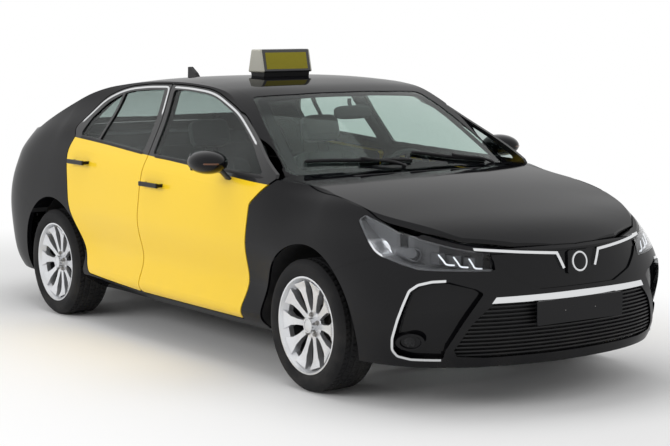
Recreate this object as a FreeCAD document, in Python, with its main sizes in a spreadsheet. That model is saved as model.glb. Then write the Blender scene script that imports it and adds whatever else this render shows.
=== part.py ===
"""Four-door compact saloon used as a taxi cab, about 4.63 m long.

Frame: +X forward, +Y left, +Z up, millimetres, origin on the floor under the middle.
"""
import math
import os

import FreeCAD
import Part
from FreeCAD import Placement, Rotation
from FreeCAD import Vector as V

# Main dimensions, kept in the document's sheet
SIZES = [
    ("front_axle_x", 1375.0), ("rear_axle_x", -1325.0), ("wheel_y", 766.0),
    ("tyre_radius", 317.0), ("tyre_width", 226.0), ("rim_radius", 233.0),
    ("spoke_count", 10.0), ("spoke_depth", 46.0), ("hub_radius", 70.0), ("disc_radius", 140.0),
    ("arch_front_radius", 386.0), ("arch_rear_radius", 392.0), ("kingpin_y", 690.0),
    ("door_axis_y", 857.0), ("rear_door_axis_y", 850.0),
    ("front_door_axis_x", 905.0), ("rear_door_axis_x", -209.5),
    ("bonnet_axis_x", 1090.0), ("bonnet_axis_z", 967.0), ("lid_axis_x", -1780.0), ("lid_axis_z", 1092.0),
    ("panel_gap", 3.25), ("seam", 0.3), ("door_hem", 8.0),
    ("steering_wheel_radius", 182.0), ("steering_wheel_y", 365.0),
    ("engine_length", 520.0), ("engine_width", 760.0), ("engine_height", 490.0),
    ("engine_back_x", 1440.0), ("engine_low_z", 300.0), ("engine_edge", 30.0),
    ("sign_width", 330.0), ("plate_width", 520.0), ("plate_height", 110.0),
    ("plate_hole_spacing", 180.0), ("plate_hole_radius", 3.0),
]

doc = FreeCAD.newDocument("Taxi")
sheet = doc.addObject("Spreadsheet::Sheet", "Sheet")
D = {}
for row, (name, value) in enumerate(SIZES, 1):
    sheet.set("A%d" % row, name)
    sheet.set("B%d" % row, "%g" % value)
    sheet.setAlias("B%d" % row, name)
    D[name] = value
doc.recompute()

FA = D["front_axle_x"]
RA = D["rear_axle_x"]
WY = D["wheel_y"]
KY = D["kingpin_y"]
GAP = D["panel_gap"]
SEAM = D["seam"]
NODES = {}


def hermite(points):
    """Smooth curve through (x, value) points, straight beyond its ends."""
    pts = sorted(points)
    xs = [p[0] for p in pts]
    vs = [p[1] for p in pts]
    n = len(xs)
    step = [(vs[i + 1] - vs[i]) / (xs[i + 1] - xs[i]) for i in range(n - 1)]
    slope = [step[0]] + [0.0] * (n - 2) + [step[-1]]
    for i in range(1, n - 1):
        before = xs[i] - xs[i - 1]
        after = xs[i + 1] - xs[i]
        slope[i] = (step[i - 1] * after + step[i] * before) / (before + after)

    def value(x):
        if x <= xs[0]:
            return vs[0] + slope[0] * (x - xs[0])
        if x >= xs[-1]:
            return vs[-1] + slope[-1] * (x - xs[-1])
        i = max(j for j in range(n - 1) if xs[j] <= x)
        h = xs[i + 1] - xs[i]
        t = (x - xs[i]) / h
        return ((2 * t**3 - 3 * t * t + 1) * vs[i] + (t**3 - 2 * t * t + t) * h * slope[i]
                + (3 * t * t - 2 * t**3) * vs[i + 1] + (t**3 - t * t) * h * slope[i + 1])
    return value


def smooth(t):
    t = max(0.0, min(1.0, t))
    return t * t * (3 - 2 * t)


def spread(a, b, n):
    return [a + (b - a) * i / (n - 1) for i in range(n)]


# Body sections: height, half-widths at front axle, doors, rear axle, nose and tail reach
LEVELS = [
    (150, 800, 795, 800, 2240, 4.0, -2215, 5.0),
    (260, 848, 842, 848, 2292, 4.2, -2275, 5.4),
    (365, 870, 870, 870, 2310, 4.2, -2300, 5.8),
    (455, 880, 847, 880, 2315, 4.2, -2311, 5.8),
    (560, 887, 866, 889, 2314, 3.9, -2315, 5.8),
    (665, 886, 886, 890, 2305, 3.1, -2313, 5.8),
    (760, 858, 881, 886, 2280, 2.5, -2295, 5.6),
    (840, 815, 872, 874, 2235, 2.1, -2268, 5.4),
    (905, 775, 860, 860, 2180, 1.9, -2250, 4.9),
    (960, 706, 842, 842, 2100, 1.8, -2238, 4.6),
    (1010, 680, 812, 822, 2050, 1.8, -2215, 4.0),
    (1070, 660, 778, 796, 2030, 1.8, -2180, 3.4),
    (1130, 640, 741, 752, 2020, 1.8, -2160, 3.2),
    (1200, 620, 705, 712, 2010, 1.8, -2150, 3.0),
    (1290, 600, 665, 672, 2000, 1.8, -2140, 3.0),
    (1375, 580, 626, 636, 2000, 1.8, -2130, 3.0),
    (1460, 560, 580, 592, 2000, 1.8, -2120, 3.0),
]
COLUMN = [hermite([(lv[0], lv[i]) for lv in LEVELS]) for i in range(1, 8)]
BELT_RISE = hermite([(1300, 0), (900, 0), (500, 2), (0, 16), (-800, 42), (-1150, 52), (-1500, 40), (-2200, 0)])
ANGLES = [0, 20, 38, 54, 68, 79, 86, 89.2]


def half_width(x, z, inset=0.0, plain=False):
    """Half-width of the body at x and z, moved in by inset."""
    lift = BELT_RISE(x) * smooth((z - 780) / 170.0) * smooth((1400 - z) / 330.0)
    row = [c(z - lift) for c in COLUMN]
    wf, wd, wr, nose, nose_pow, tail, tail_pow = row
    if plain and 300 < z < 420:
        wd = CREASE_WIDTH
    wf -= inset
    wd -= inset
    wr -= inset
    if x > FA:
        u = min(1.0, (x - FA) / (nose - inset - FA))
        return wf * math.sqrt(max(0.0, 1 - u**nose_pow))
    if x < RA:
        u = min(1.0, (RA - x) / (RA - tail - inset))
        return wr * math.sqrt(max(0.0, 1 - u**tail_pow))
    y = wd - 3 * (x / 850.0)**2 if abs(x) < 850 else wd - 3
    y += (wf - y) * smooth((x - 900) / (FA - 900))
    return y + (wr - y) * smooth((-900 - x) / (-900 - RA))


def plan_outline(z, inset, plain=False):
    row = [c(z) for c in COLUMN]
    nose, nose_pow, tail, tail_pow = row[3:]
    pts = []
    for a in ANGLES:
        a = math.radians(a)
        x = FA + (nose - inset - FA) * math.cos(a)**(2 / nose_pow)
        pts.append((x, (row[0] - inset) * math.sin(a)))
    for x in (1200, 1050, 900, 550, 100, -400, -900, -1100, -1240):
        pts.append((x, half_width(x, z, inset, plain)))
    for a in reversed(ANGLES):
        a = math.radians(a)
        x = RA + (tail + inset - RA) * math.cos(a)**(2 / tail_pow)
        y = (row[2] - inset) * math.sin(a)
        if 50 < math.degrees(a):
            y = half_width(x, z, inset)
        pts.append((x, y))
    pts += [(x, -y) for x, y in reversed(pts[1:-1])]
    return [V(x, y, z) for x, y in pts]


def chord_parameters(pts):
    run = [0.0]
    for a, b in zip(pts, pts[1:] + pts[:1]):
        run.append(run[-1] + (b - a).Length)
    return [v / run[-1] for v in run]


PARAMS = chord_parameters(plan_outline(560, 0))


CREASE_WIDTH = 846


def body_solid(inset, plain=False):
    """Closed solid inside the body's side surface; inset is a number or a function of z.

    A plain one leaves out the crease above the sill, so it stays inside the skin there.
    """
    wires = []
    for lv in LEVELS:
        t = inset(lv[0]) if callable(inset) else inset
        if plain and lv[0] < 600:
            t += 4
        curve = Part.BSplineCurve()
        curve.interpolate(Points=plan_outline(lv[0], t, plain), PeriodicFlag=True, Parameters=PARAMS)
        wires.append(Part.Wire([curve.toShape()]))
    return Part.makeLoft(wires, True, False)


def field(fn, us, vs, place, reach):
    """Solid from a grid surface, extruded by the vector reach."""
    surface = Part.BSplineSurface()
    surface.interpolate([[place(u, v, fn(u, v)) for v in vs] for u in us])
    return surface.toShape().extrude(reach)


HOOD = hermite([(2420, 600), (2330, 690), (2275, 735), (2200, 785), (2050, 842), (1892, 877), (1750, 907),
                (1560, 943), (1400, 967), (1217, 988), (1050, 1002), (700, 1015), (200, 1032), (-400, 1052),
                (-1000, 1072), (-1400, 1092), (-1750, 1104), (-2000, 1100), (-2170, 1088), (-2300, 1068),
                (-2420, 1045)])
ROOF = hermite([(1500, 770), (1160, 957), (1020, 1036), (840, 1150), (660, 1258), (470, 1352), (370, 1384),
                (200, 1412), (-100, 1433), (-350, 1435), (-600, 1427), (-850, 1409), (-1030, 1388),
                (-1200, 1352), (-1400, 1287), (-1600, 1203), (-1720, 1143), (-1775, 1110), (-1850, 1055),
                (-2100, 850)])


def deck(x, y):
    """Height of the bonnet and boot surface."""
    sweep = (0.00016 + 0.0002 * smooth((x - 1500) / 900)) * y * y * smooth(x / 1000)
    return HOOD(x + sweep) - 0.03 * y * y / 1000


def cabin_top(x, y):
    """Height of the windscreen, roof and rear window surface."""
    sweep = 0.20 * y * y / 1000 * smooth(x / 450)
    drop = (110 - 50 * smooth(x / 450)) * abs(y / 1000)**3
    return ROOF(x + sweep) - drop


def up(u, v, w):
    return V(u, v, w)


def deck_solid(t):
    return field(lambda x, y: deck(x, y) - t, spread(-2420, 2420, 40), spread(-960, 960, 15), up, V(0, 0, -1400))


def top_solid(t):
    return field(lambda x, y: cabin_top(x, y) - t, spread(-2100, 1500, 37), spread(-960, 960, 15), up,
                 V(0, 0, -1400))


def grown(points, grow):
    """Polygon moved outward by grow with mitred corners."""
    n = len(points)
    area = sum(points[i][0] * points[(i + 1) % n][1] - points[(i + 1) % n][0] * points[i][1] for i in range(n))
    side = grow if area > 0 else -grow
    out = []
    for i in range(n):
        a, b, c = points[i - 1], points[i], points[(i + 1) % n]
        d1 = (b[0] - a[0], b[1] - a[1])
        d2 = (c[0] - b[0], c[1] - b[1])
        l1 = math.hypot(*d1)
        l2 = math.hypot(*d2)
        n1 = (d1[1] / l1, -d1[0] / l1)
        n2 = (d2[1] / l2, -d2[0] / l2)
        k = 1 + n1[0] * n2[0] + n1[1] * n2[1]
        r = b[2] if len(b) > 2 else 0
        convex = (d1[0] * d2[1] - d1[1] * d2[0]) * (1 if area > 0 else -1) > 0
        r = max(0.0, r + (grow if convex else -grow)) if r else 0
        out.append((b[0] + side * (n1[0] + n2[0]) / k, b[1] + side * (n1[1] + n2[1]) / k, r))
    return out


def prism(plane, points, low, high, grow=0.0):
    """Prism of a polygon with rounded corners; plane says which two axes the points use."""
    pts = grown(points, grow) if grow else [(p[0], p[1], p[2] if len(p) > 2 else 0) for p in points]

    def at(u, v):
        if plane == "xz":
            return V(u, low, v)
        if plane == "xy":
            return V(u, v, low)
        return V(low, u, v)

    n = len(pts)
    edges = []
    ends = []
    for i in range(n):
        a, b, c, r = pts[i - 1], pts[i], pts[(i + 1) % n], pts[i][2]
        d1 = V(b[0] - a[0], b[1] - a[1], 0)
        d2 = V(c[0] - b[0], c[1] - b[1], 0)
        turn = d1.getAngle(d2)
        if r < 0.01 or turn < 0.002:
            ends.append(((b[0], b[1]), None, (b[0], b[1])))
            continue
        cut = min(r * math.tan(turn / 2), 0.49 * d1.Length, 0.49 * d2.Length)
        r = cut / math.tan(turn / 2)
        d1.normalize()
        d2.normalize()
        p1 = (b[0] - d1.x * cut, b[1] - d1.y * cut)
        p2 = (b[0] + d2.x * cut, b[1] + d2.y * cut)
        inward = (d2 - d1).normalize()
        off = r / math.cos(turn / 2) - r
        ends.append((p1, (b[0] + inward.x * off, b[1] + inward.y * off), p2))
    for i in range(n):
        p1, mid, p2 = ends[i]
        if mid:
            edges.append(Part.Arc(at(*p1), at(*mid), at(*p2)).toShape())
        q = ends[(i + 1) % n][0]
        if math.hypot(q[0] - p2[0], q[1] - p2[1]) > 1e-4:
            edges.append(Part.makeLine(at(*p2), at(*q)))
    face = Part.Face(Part.Wire(edges))
    reach = {"xz": V(0, high - low, 0), "xy": V(0, 0, high - low), "yz": V(high - low, 0, 0)}[plane]
    return face.extrude(reach)


def turned_prism(points, low, high, angle, grow=0.0):
    """Prism along X of a (y, z) outline, turned about the Z axis."""
    shape = prism("yz", points, low, high, grow)
    shape.rotate(V(0, 0, 0), V(0, 0, 1), angle)
    return shape


def box(x0, x1, y0, y1, z0, z1):
    return Part.makeBox(x1 - x0, y1 - y0, z1 - z0, V(x0, y0, z0))


def soft_box(x0, x1, y0, y1, z0, z1, r):
    b = box(x0, x1, y0, y1, z0, z1)
    return b.makeFillet(r, b.Edges)


def rod(a, b, r):
    a, b = V(*a), V(*b)
    return Part.makeCylinder(r, (b - a).Length, a, b - a)


def mirrored(shape):
    return shape.mirror(V(0, 0, 0), V(0, 1, 0))


def both(shape):
    return Part.makeCompound([shape, mirrored(shape)])


def solids(shape, least=20.0):
    """The shape's solids, leaving out crumbs."""
    keep = [s for s in shape.Solids if s.Volume > least]
    return keep[0] if len(keep) == 1 else Part.makeCompound(keep)


def feature(node, shape):
    obj = doc.addObject("Part::Feature", node)
    obj.Shape = shape
    NODES[node] = obj
    return obj


def fused(*parts):
    out = parts[0]
    for p in parts[1:]:
        out = out.fuse(p)
    return out.removeSplitter() if len(parts) > 1 else out


# Outer solids
BODY = body_solid(0)
DECK = deck_solid(0)
TOP = top_solid(0)
LOWER = BODY.common(DECK)

# Right side (negative y) chunks of the side surface
SIDE_BOX = box(-2400, 2400, -1000, -430, 100, 1500)


def side_shell(x0, x1, inset, roof_inset):
    """Right-hand piece of the cabin wall between x0 and x1."""
    chunk = box(x0, x1, -1000, -480, 140, 1470)
    outer = BODY.common(chunk)
    outer = outer.common(DECK.fuse(TOP.common(box(x0 - 50, x1 + 50, -1000, 1000, 700, 1500))))
    room = top_solid(roof_inset).fuse(deck_solid(26).common(box(-2400, -1600, -1000, 0, 100, 1300)))
    cavity = body_solid(inset, True).common(chunk).common(room)
    return outer.cut(cavity)


def wall(z):
    return 100 - 46 * smooth((z - 860) / 140.0)


# Door outlines, side view
FRONT_DOOR = [(803, 268, 25), (836, 452, 300), (868, 700, 400), (881, 852, 40), (1028, 978, 8), (1022, 1002, 8),
              (782, 1136, 900), (483, 1286, 700), (172, 1381, 900), (-100, 1396, 1500), (-313, 1399, 12),
              (-222, 1008, 200), (-237, 860, 250), (-243, 700, 600), (-250, 270, 25)]
REAR_DOOR = [(-251.5, 270, 25), (-244.5, 700, 600), (-238.5, 860, 250), (-223.5, 1008, 200), (-314.5, 1399, 12),
             (-561, 1392, 1500), (-824, 1371, 900), (-1050, 1290, 300), (-1180, 1128, 60), (-1135, 1078, 30),
             (-1160, 1000, 200), (-1130, 850, 300), (-1090, 673, 300), (-970, 470, 300), (-900, 360, 60),
             (-850, 305, 40)]
FRONT_BOX = [(760, 330, 40), (800, 470, 300), (826, 700, 400), (832, 905, 20), (-172, 950, 20), (-186, 850, 250),
             (-190, 700, 600), (-196, 330, 40)]
REAR_BOX = [(-295, 330, 40), (-288, 700, 600), (-285, 850, 250), (-262, 965, 20), (-1080, 1010, 30),
            (-1080, 850, 300), (-1040, 690, 300), (-925, 500, 300), (-850, 400, 60), (-800, 345, 40)]
FRONT_PANE = [(935, 992, 10), (760, 1112, 900), (470, 1258, 700), (165, 1352, 900), (-100, 1367, 1500),
              (-262, 1369, 15), (-180, 1030, 20)]
REAR_PANE = [(-292, 1037, 20), (-370, 1366, 15), (-561, 1361, 1500), (-800, 1343, 900), (-985, 1268, 300),
             (-1060, 1190, 20), (-1085, 1088, 20)]
DIVIDER = [(-872, 1030), (-822, 1380), (-798, 1380), (-848, 1030)]
FLANGE = 18.0

mid_body = BODY.common(box(-1500, 1300, -1000, -430, 140, 1470))
skin_flange = mid_body.cut(body_solid(FLANGE).common(box(-1600, 1400, -1000, -400, 100, 1470)))
door_wall = mid_body.cut(body_solid(94, True).common(box(-1600, 1400, -1000, -400, 100, 1470)))


def door(outer, inner, pane):
    leaf = skin_flange.common(prism("xz", outer, -1000, -430, -GAP))
    leaf = leaf.cut(prism("xz", pane, -1000, -430))
    core = door_wall.common(prism("xz", inner, -1000, -430))
    return solids(leaf.fuse(core))


# The hem at each leading edge is thinner, so it swings past the panel in front
HEM = D["door_hem"]
FRONT_HEM = [(770, 255), (810, 452), (842, 700), (854, 845), (930, 860), (930, 255)]
REAR_HEM = [(-280, 255), (-270, 700), (-264, 860), (-250, 990), (-200, 990), (-200, 255)]
below_hem = body_solid(HEM).common(box(-300, 960, -1000, -430, 240, 1000))
front_hem = below_hem.common(prism("xz", FRONT_HEM, -1000, -430))
rear_hem = below_hem.common(prism("xz", REAR_HEM, -1000, -430))
front_door = solids(door(FRONT_DOOR, FRONT_BOX, FRONT_PANE).cut(front_hem))
rear_door = solids(door(REAR_DOOR, REAR_BOX, REAR_PANE).cut(rear_hem))


def hinge_arm(x, y, z, reach):
    """Gooseneck arm of a door hinge with the barrel that turns on the pin."""
    barrel = Part.makeCylinder(8, 30, V(x, y, z - 15))
    neck = box(x - 5, x + 5, y, y + 42, z - 10, z + 10)
    arm = box(x - reach, x + 5, y + 34, y + 42, z - 10, z + 10)
    return barrel.fuse(neck).fuse(arm).cut(Part.makeCylinder(5.3, 60, V(x, y, z - 30)))


FX = D["front_door_axis_x"]
RX = D["rear_door_axis_x"]
DY = -D["door_axis_y"]
HINGES = (640, 745)
RY = -D["rear_door_axis_y"]
for z in HINGES:
    front_door = solids(front_door.fuse(hinge_arm(FX, DY, z, 90)))
    rear_door = solids(rear_door.fuse(hinge_arm(RX, RY, z, 90)))
glazing_bar = mid_body.cut(body_solid(20)).common(prism("xz", DIVIDER, -1000, -430))
glazing_bar = glazing_bar.common(prism("xz", REAR_PANE, -1000, -430))
rear_door = solids(rear_door.fuse(glazing_bar))
pane_layer = body_solid(8).common(box(-1500, 1300, -1000, -430, 900, 1470)).cut(
    body_solid(12).common(box(-1600, 1400, -1000, -400, 800, 1470)))
front_pane = solids(pane_layer.common(prism("xz", FRONT_PANE, -1000, -430, -0.3)))
rear_pane = pane_layer.common(prism("xz", REAR_PANE, -1000, -430, -0.3))
rear_pane = solids(rear_pane.cut(prism("xz", DIVIDER, -1000, -430, 0.3)))
feature("door_front_right", front_door)
feature("door_front_left", mirrored(front_door))
feature("door_rear_right", rear_door)
feature("door_rear_left", mirrored(rear_door))
feature("glass_front_right", front_pane)
feature("glass_front_left", mirrored(front_pane))
feature("glass_rear_right", rear_pane)
feature("glass_rear_left", mirrored(rear_pane))


def column(x, y, r, z0, z1):
    return Part.makeCylinder(r, z1 - z0, V(x, y, z0))


def arch(x, r, y0, y1):
    return Part.makeCylinder(r, y1 - y0, V(x, y0, D["tyre_radius"]), V(0, 1, 0))


# Bonnet, lamp, bumper and lid outlines
BONNET = [(1100, 742), (1217, 735), (1400, 741), (1561, 737), (1750, 727), (1885, 702), (1958, 665, 40),
          (2112, 520), (2222, 300), (2268, 120), (2277, 0)]
BONNET = BONNET + [(p[0], -p[1], p[2] if len(p) > 2 else 0) for p in reversed(BONNET[:-1])]
BONNET += [(1165, -480), (1188, -200), (1190, 0), (1188, 200), (1165, 480)]
LAMP = [(2235, 638, 12), (2235, 706), (1990, 775, 60), (1690, 862, 12), (1668, 838, 12), (1850, 705, 200),
        (2050, 645, 200)]
BUMPER = [(2420, 130), (2420, 745), (2200, 730), (1985, 792), (1850, 690), (1700, 640, 40), (1600, 600),
          (1500, 130)]
FENDER = [(1600, 600), (1700, 640, 40), (1850, 690), (1985, 792), (1985, 1060), (1042, 1060), (1042, 978, 6),
          (881, 852, 40), (868, 700, 400), (836, 452, 300), (803, 250), (1600, 250)]
TAIL_LAMP = [(-2400, 815), (-2400, 985), (-2100, 985, 20), (-1900, 955, 10), (-2040, 850, 40), (-2140, 815, 20)]
REAR_BUMPER = [(-2420, 140), (-2420, 775), (-2180, 775), (-2070, 800, 20), (-1900, 735, 60), (-1640, 640, 40),
               (-1560, 520), (-1560, 140)]
SCREEN = [(1085, -30), (1085, 30), (1062, 400), (1010, 640), (950, 690, 40), (620, 610), (395, 540, 40),
          (430, 300), (440, 0), (430, -300), (395, -540, 40), (620, -610), (950, -690, 40), (1010, -640),
          (1062, -400)]
REAR_SCREEN = [(-1215, 0), (-1205, 350), (-1185, 490, 50), (-1400, 560), (-1660, 640, 60), (-1700, 400),
               (-1722, 0), (-1700, -400), (-1660, -640, 60), (-1400, -560), (-1185, -490, 50), (-1205, -350)]
ROOF_PLAN = [(470, -520), (395, -560), (200, -568), (-200, -566), (-900, -556), (-1190, -500), (-1260, -450),
             (-1260, 450), (-1190, 500), (-900, 556), (-200, 566), (200, 568), (395, 560), (470, 520)]
LID_PLAN = [(-1768, 620, 25), (-2180, 560, 60), (-2420, 555), (-2420, -555), (-2180, -560, 60), (-1768, -620, 25)]

# Body side: quarter panel, sill, pillars and roof rail in one piece
shell = side_shell(-2330, 1100, wall, 55)
DOOR_CUT = 24.0
inside36 = body_solid(DOOR_CUT, True).common(box(-1500, 1300, -1000, -430, 140, 1470))
recess = prism("xz", FRONT_DOOR, -1000, -430, GAP).fuse(prism("xz", REAR_DOOR, -1000, -430, GAP))
# The two outlines share the split line, so the recess has no post in it
recess = recess.fuse(box(-260, -200, -1000, -430, 300, 1380)).cut(inside36)
side = shell.cut([recess, prism("xz", FRONT_BOX, -1000, -430, 6), prism("xz", REAR_BOX, -1000, -430, 6),
                  prism("xz", FRONT_PANE, -1000, -430, 14), prism("xz", REAR_PANE, -1000, -430, 14),
                  column(D["front_door_axis_x"], -D["door_axis_y"], 158, 862, 1032),
                  prism("xy", SCREEN, 800, 1500, 0.3), prism("xy", REAR_SCREEN, 1000, 1500, 0.3),
                  prism("xy", ROOF_PLAN, 1000, 1500, SEAM), prism("xy", LID_PLAN, 500, 1500, 5),
                  box(-1790, -1757, -620, 620, 900, 1300), arch(RA, D["arch_rear_radius"], -1000, -430)])
b126 = body_solid(12.6).common(box(700, 1300, -1000, 0, 140, 1470)).common(deck_solid(12.6))
spots = [(x, y, z) for z in HINGES for x, y in ((FX, DY), (RX, RY))]
side = side.cut([column(x, y, 98, z - 22, z + 22) for x, y, z in spots])
side = side.fuse([column(x, y, 5, z - 30, z + 30) for x, y, z in spots])
front_zone = LOWER.common(prism("xz", FENDER, -1000, -430, SEAM)).cut(b126)
tail_box = prism("xz", TAIL_LAMP, -1000, 1000, SEAM)
rear_zone = prism("xz", REAR_BUMPER, -1000, 1000, SEAM)
side = side.cut([front_zone, box(960, 1200, -1000, -400, 100, 860), box(1060, 1200, -1000, -400, 100, 1500),
                 tail_box, rear_zone, box(-2400, 1300, -1000, 0, 100, 205)])
# Room for the bonnet's hinge bracket, which stands on the firewall
side = side.cut(box(1050, 1064, -634, -586, 880, 925))
side = solids(side)
feature("body_side_right", side)
feature("body_side_left", mirrored(side))

# Roof, glass, bonnet and lid
roof = TOP.common(BODY).common(prism("xy", ROOF_PLAN, 1000, 1500)).cut(top_solid(22))
roof = roof.cut(prism("xy", SCREEN, 800, 1500, 0.3)).cut(prism("xy", REAR_SCREEN, 1000, 1500, 0.3))
feature("roof_panel", solids(roof))
glass = top_solid(4).cut(top_solid(9))
screen = glass.common(prism("xy", SCREEN, 800, 1500)).cut(DECK.copy().translated(V(0, 0, -6)))
feature("windscreen", solids(screen))
feature("rear_window", solids(glass.common(prism("xy", REAR_SCREEN, 800, 1500))))
bonnet = LOWER.common(prism("xy", BONNET, 600, 1100, -GAP)).cut(deck_solid(20))
BX = D["bonnet_axis_x"]
BZ = D["bonnet_axis_z"]
for y in (-610, 610):
    arm = prism("xz", [(BX - 8, BZ - 8), (BX + 12, BZ - 8), (BX + 190, BZ + 6), (BX + 190, BZ + 34), (BX + 150, BZ + 34),
                       (BX - 8, BZ + 8)], y - 8, y + 8)
    arm = arm.fuse(rod((BX, y - 8, BZ), (BX, y + 8, BZ), 10)).common(deck_solid(6))
    bonnet = bonnet.fuse(arm.cut(rod((BX, y - 9, BZ), (BX, y + 9, BZ), 5.3)))
feature("bonnet", solids(bonnet))
lid = LOWER.common(prism("xy", LID_PLAN, 500, 1300, -0.5)).common(box(-2420, -1700, -700, 700, 782, 1300))
lid = lid.cut(body_solid(26).common(deck_solid(22)))
lid_corners = fused(box(-2420, -1800, -1000, -540, 700, 1000), box(-2420, -1800, 540, 1000, 700, 1000))
lid = lid.cut(tail_box.common(lid_corners))
LX = D["lid_axis_x"]
LZ = D["lid_axis_z"]
for y in (-250, 250):
    lid = lid.fuse(rod((LX, y - 12, LZ), (LX, y + 12, LZ), 7).common(deck_solid(2)))
    lid = lid.cut(rod((LX, y - 30, LZ), (LX, y + 30, LZ), 3.3))
    for a, b in ((y - 21, y - 12), (y + 12, y + 21)):
        lid = lid.cut(box(LX - 8, LX + 30, a, b, 1060, LZ + 7.5))
feature("boot_lid", solids(lid))

# Front wheel housing, inside the fender skin
liner = arch(FA, 398, -870, -455).cut(arch(FA, 386.6, -870, -463))
liner = liner.common(box(960, 1800, -1000, -400, 235, 760)).common(body_solid(12.8)).common(deck_solid(12.8))
liner = solids(liner.cut(side))

# Bumpers, fenders and lamps
half = LOWER.cut(body_solid(28).common(deck_solid(28)))
bumper = half.common(prism("xz", BUMPER, -1000, 1000, -SEAM))
arches = fused(arch(FA, D["arch_front_radius"], -1000, -450), arch(FA, D["arch_front_radius"], 450, 1000))
bumper = bumper.cut(arches).cut(prism("xy", BONNET, 600, 1100, GAP)).cut(box(1000, 2420, -1000, 1000, 100, 205))
bumper = bumper.cut(prism("xz", LAMP, -1000, -430, SEAM)).cut(prism("xz", LAMP, 430, 1000, SEAM))
FRONT = box(1850, 2420, -1000, 1000, 205, 800)
NOSE = {t: body_solid(t).common(FRONT) for t in (-4, 8, 14, 28.3, 36, 44)}

# Nose openings, outlines seen from the front or from the corner
GRILLE = [(446, 497, 6), (540, 418, 300), (604, 290, 8), (588, 260, 12), (470, 250, 200)]
GRILLE = [(-p[0], p[1], p[2]) for p in GRILLE] + list(reversed(GRILLE))
BAR = [(-462, 497), (-441, 524), (0, 528, 4000), (441, 524), (462, 497)]
PANEL = [(-452, 712, 10), (-400, 648, 60), (-345, 594, 60), (-226, 548, 40), (226, 548, 40), (345, 594, 60),
         (400, 648, 60), (452, 712, 10)]
STRIP = [(-500, 739), (-305, 722), (-120, 708), (-87, 634), (-100, 630), (-130, 696), (-305, 710), (-500, 727)]
POCKET = [(905, 596, 15), (830, 592, 60), (770, 578, 40), (733, 553, 30), (706, 490, 200), (680, 420, 300),
          (656, 335, 60), (655, 285, 25), (676, 260, 20), (735, 249, 60), (878, 250, 15), (889, 290, 30),
          (975, 425, 300), (1058, 542, 10), (1026, 562, 40)]
TURN = -40.0
HOLDER_LOW = 496 - D["plate_height"]
HOLDER = [(-D["plate_width"] / 2, HOLDER_LOW, 12), (D["plate_width"] / 2, HOLDER_LOW, 12),
          (D["plate_width"] / 2, 496, 12), (-D["plate_width"] / 2, 496, 12)]

pocket = turned_prism(POCKET, 1500, 2600, TURN)
pan = NOSE[8].fuse(BODY.common(FRONT)).common(turned_prism(POCKET, 1500, 2600, TURN, 6)).cut(NOSE[44])
dent = pocket.common(FRONT).cut(NOSE[36])
lamp_seat = rod((1880, -744, 322), (2080, -744, 322), 40)
rim_zone = turned_prism(POCKET, 1500, 2600, TURN, 11).cut(pocket)
rim_zone = rim_zone.common(turned_prism([(640, 230), (868, 230), (892, 610), (640, 610)], 1500, 2600, TURN))
fog_rim = NOSE[-4].common(rim_zone).cut(NOSE[14])
mouth = prism("yz", GRILLE, 2000, 2420)
bar_zone = prism("yz", BAR, 2000, 2420)
strip_zone = prism("yz", STRIP, 2000, 2420).cut(prism("xz", LAMP, -1000, 1000, SEAM))
badge_zone = prism("yz", [(-74, 604, 12), (74, 604, 12), (64, 708, 12), (-64, 708, 12)], 2200, 2420)
strip = NOSE[-4].common(strip_zone.cut(badge_zone)).cut(NOSE[14])
badge_panel = NOSE[-4].common(badge_zone).cut(NOSE[14])
shallow = prism("yz", PANEL, 2000, 2420).cut(NOSE[8])
bumper = bumper.fuse([pan, mirrored(pan)])
bumper = bumper.cut([liner, mirrored(liner), dent, mirrored(dent), lamp_seat, mirrored(lamp_seat), fog_rim,
                     mirrored(fog_rim), mouth, bar_zone, shallow, strip, mirrored(strip), badge_panel])
feature("front_bumper", solids(bumper, 5000))

# Grille insert with fine bars, and two posts that carry the plate holder
gaps = [box(2000, 2420, -700, 700, 250 + 18 * k, 261 + 18 * k) for k in range(14)]
gaps = Part.makeCompound(gaps).cut(NOSE[28.3])
hole_y = D["plate_hole_spacing"] / 2
posts = [box(2275, 2316, s * hole_y - 13, s * hole_y + 13, 426, 456) for s in (-1, 1)]
bores = [rod((2292, s * hole_y, 441), (2330, s * hole_y, 441), D["plate_hole_radius"]) for s in (-1, 1)]
insert = NOSE[8].common(mouth).cut([NOSE[36], gaps]).fuse(posts).cut(bores)
feature("lower_grille", solids(insert, 5000))
feature("plate_holder", prism("yz", HOLDER, 2316, 2321).cut(bores))
frame_bar = NOSE[-4].common(bar_zone).cut(NOSE[44])
bright_trim = (strip, mirrored(strip), frame_bar, fog_rim, mirrored(fog_rim))
feature("front_chrome", Part.makeCompound([s for c in bright_trim for s in c.Solids if s.Volume > 200]))
feature("badge_panel", solids(badge_panel, 200))
fog_lamp = NOSE[8].common(rod((1880, -744, 322), (2080, -744, 322), 39.7)).cut(NOSE[44])
fog_lamp = fog_lamp.cut(rod((1880, -744, 322), (2080, -744, 322), 30).cut(NOSE[14]))
feature("fog_lamps", both(solids(fog_lamp, 2000)))
fender = LOWER.cut(body_solid(12).common(deck_solid(12))).common(prism("xz", FENDER, -1000, -430, -SEAM))
fender = fender.cut(arch(FA, D["arch_front_radius"], -1000, -450)).cut(prism("xy", BONNET, 600, 1100, GAP))
fender = fender.cut(prism("xz", FRONT_DOOR, -1000, -430, GAP + 1.5))
fender = fender.cut(prism("xz", LAMP, -1000, -430, SEAM)).cut(prism("xy", SCREEN, 800, 1500, 0.3))
fender = fender.cut(TOP.common(box(900, 1060, -1000, 0, 900, 1200)).cut(DECK.copy().translated(V(0, 0, -2))))
HINGE_SLOTS = [box(1064, 1150, y - 20, y + 20, 900, 1100) for y in (-610, 610)]
fender = fender.cut(HINGE_SLOTS)
fender = solids(fender, 5000)
feature("fender_right", fender)
feature("fender_left", mirrored(fender))
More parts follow.
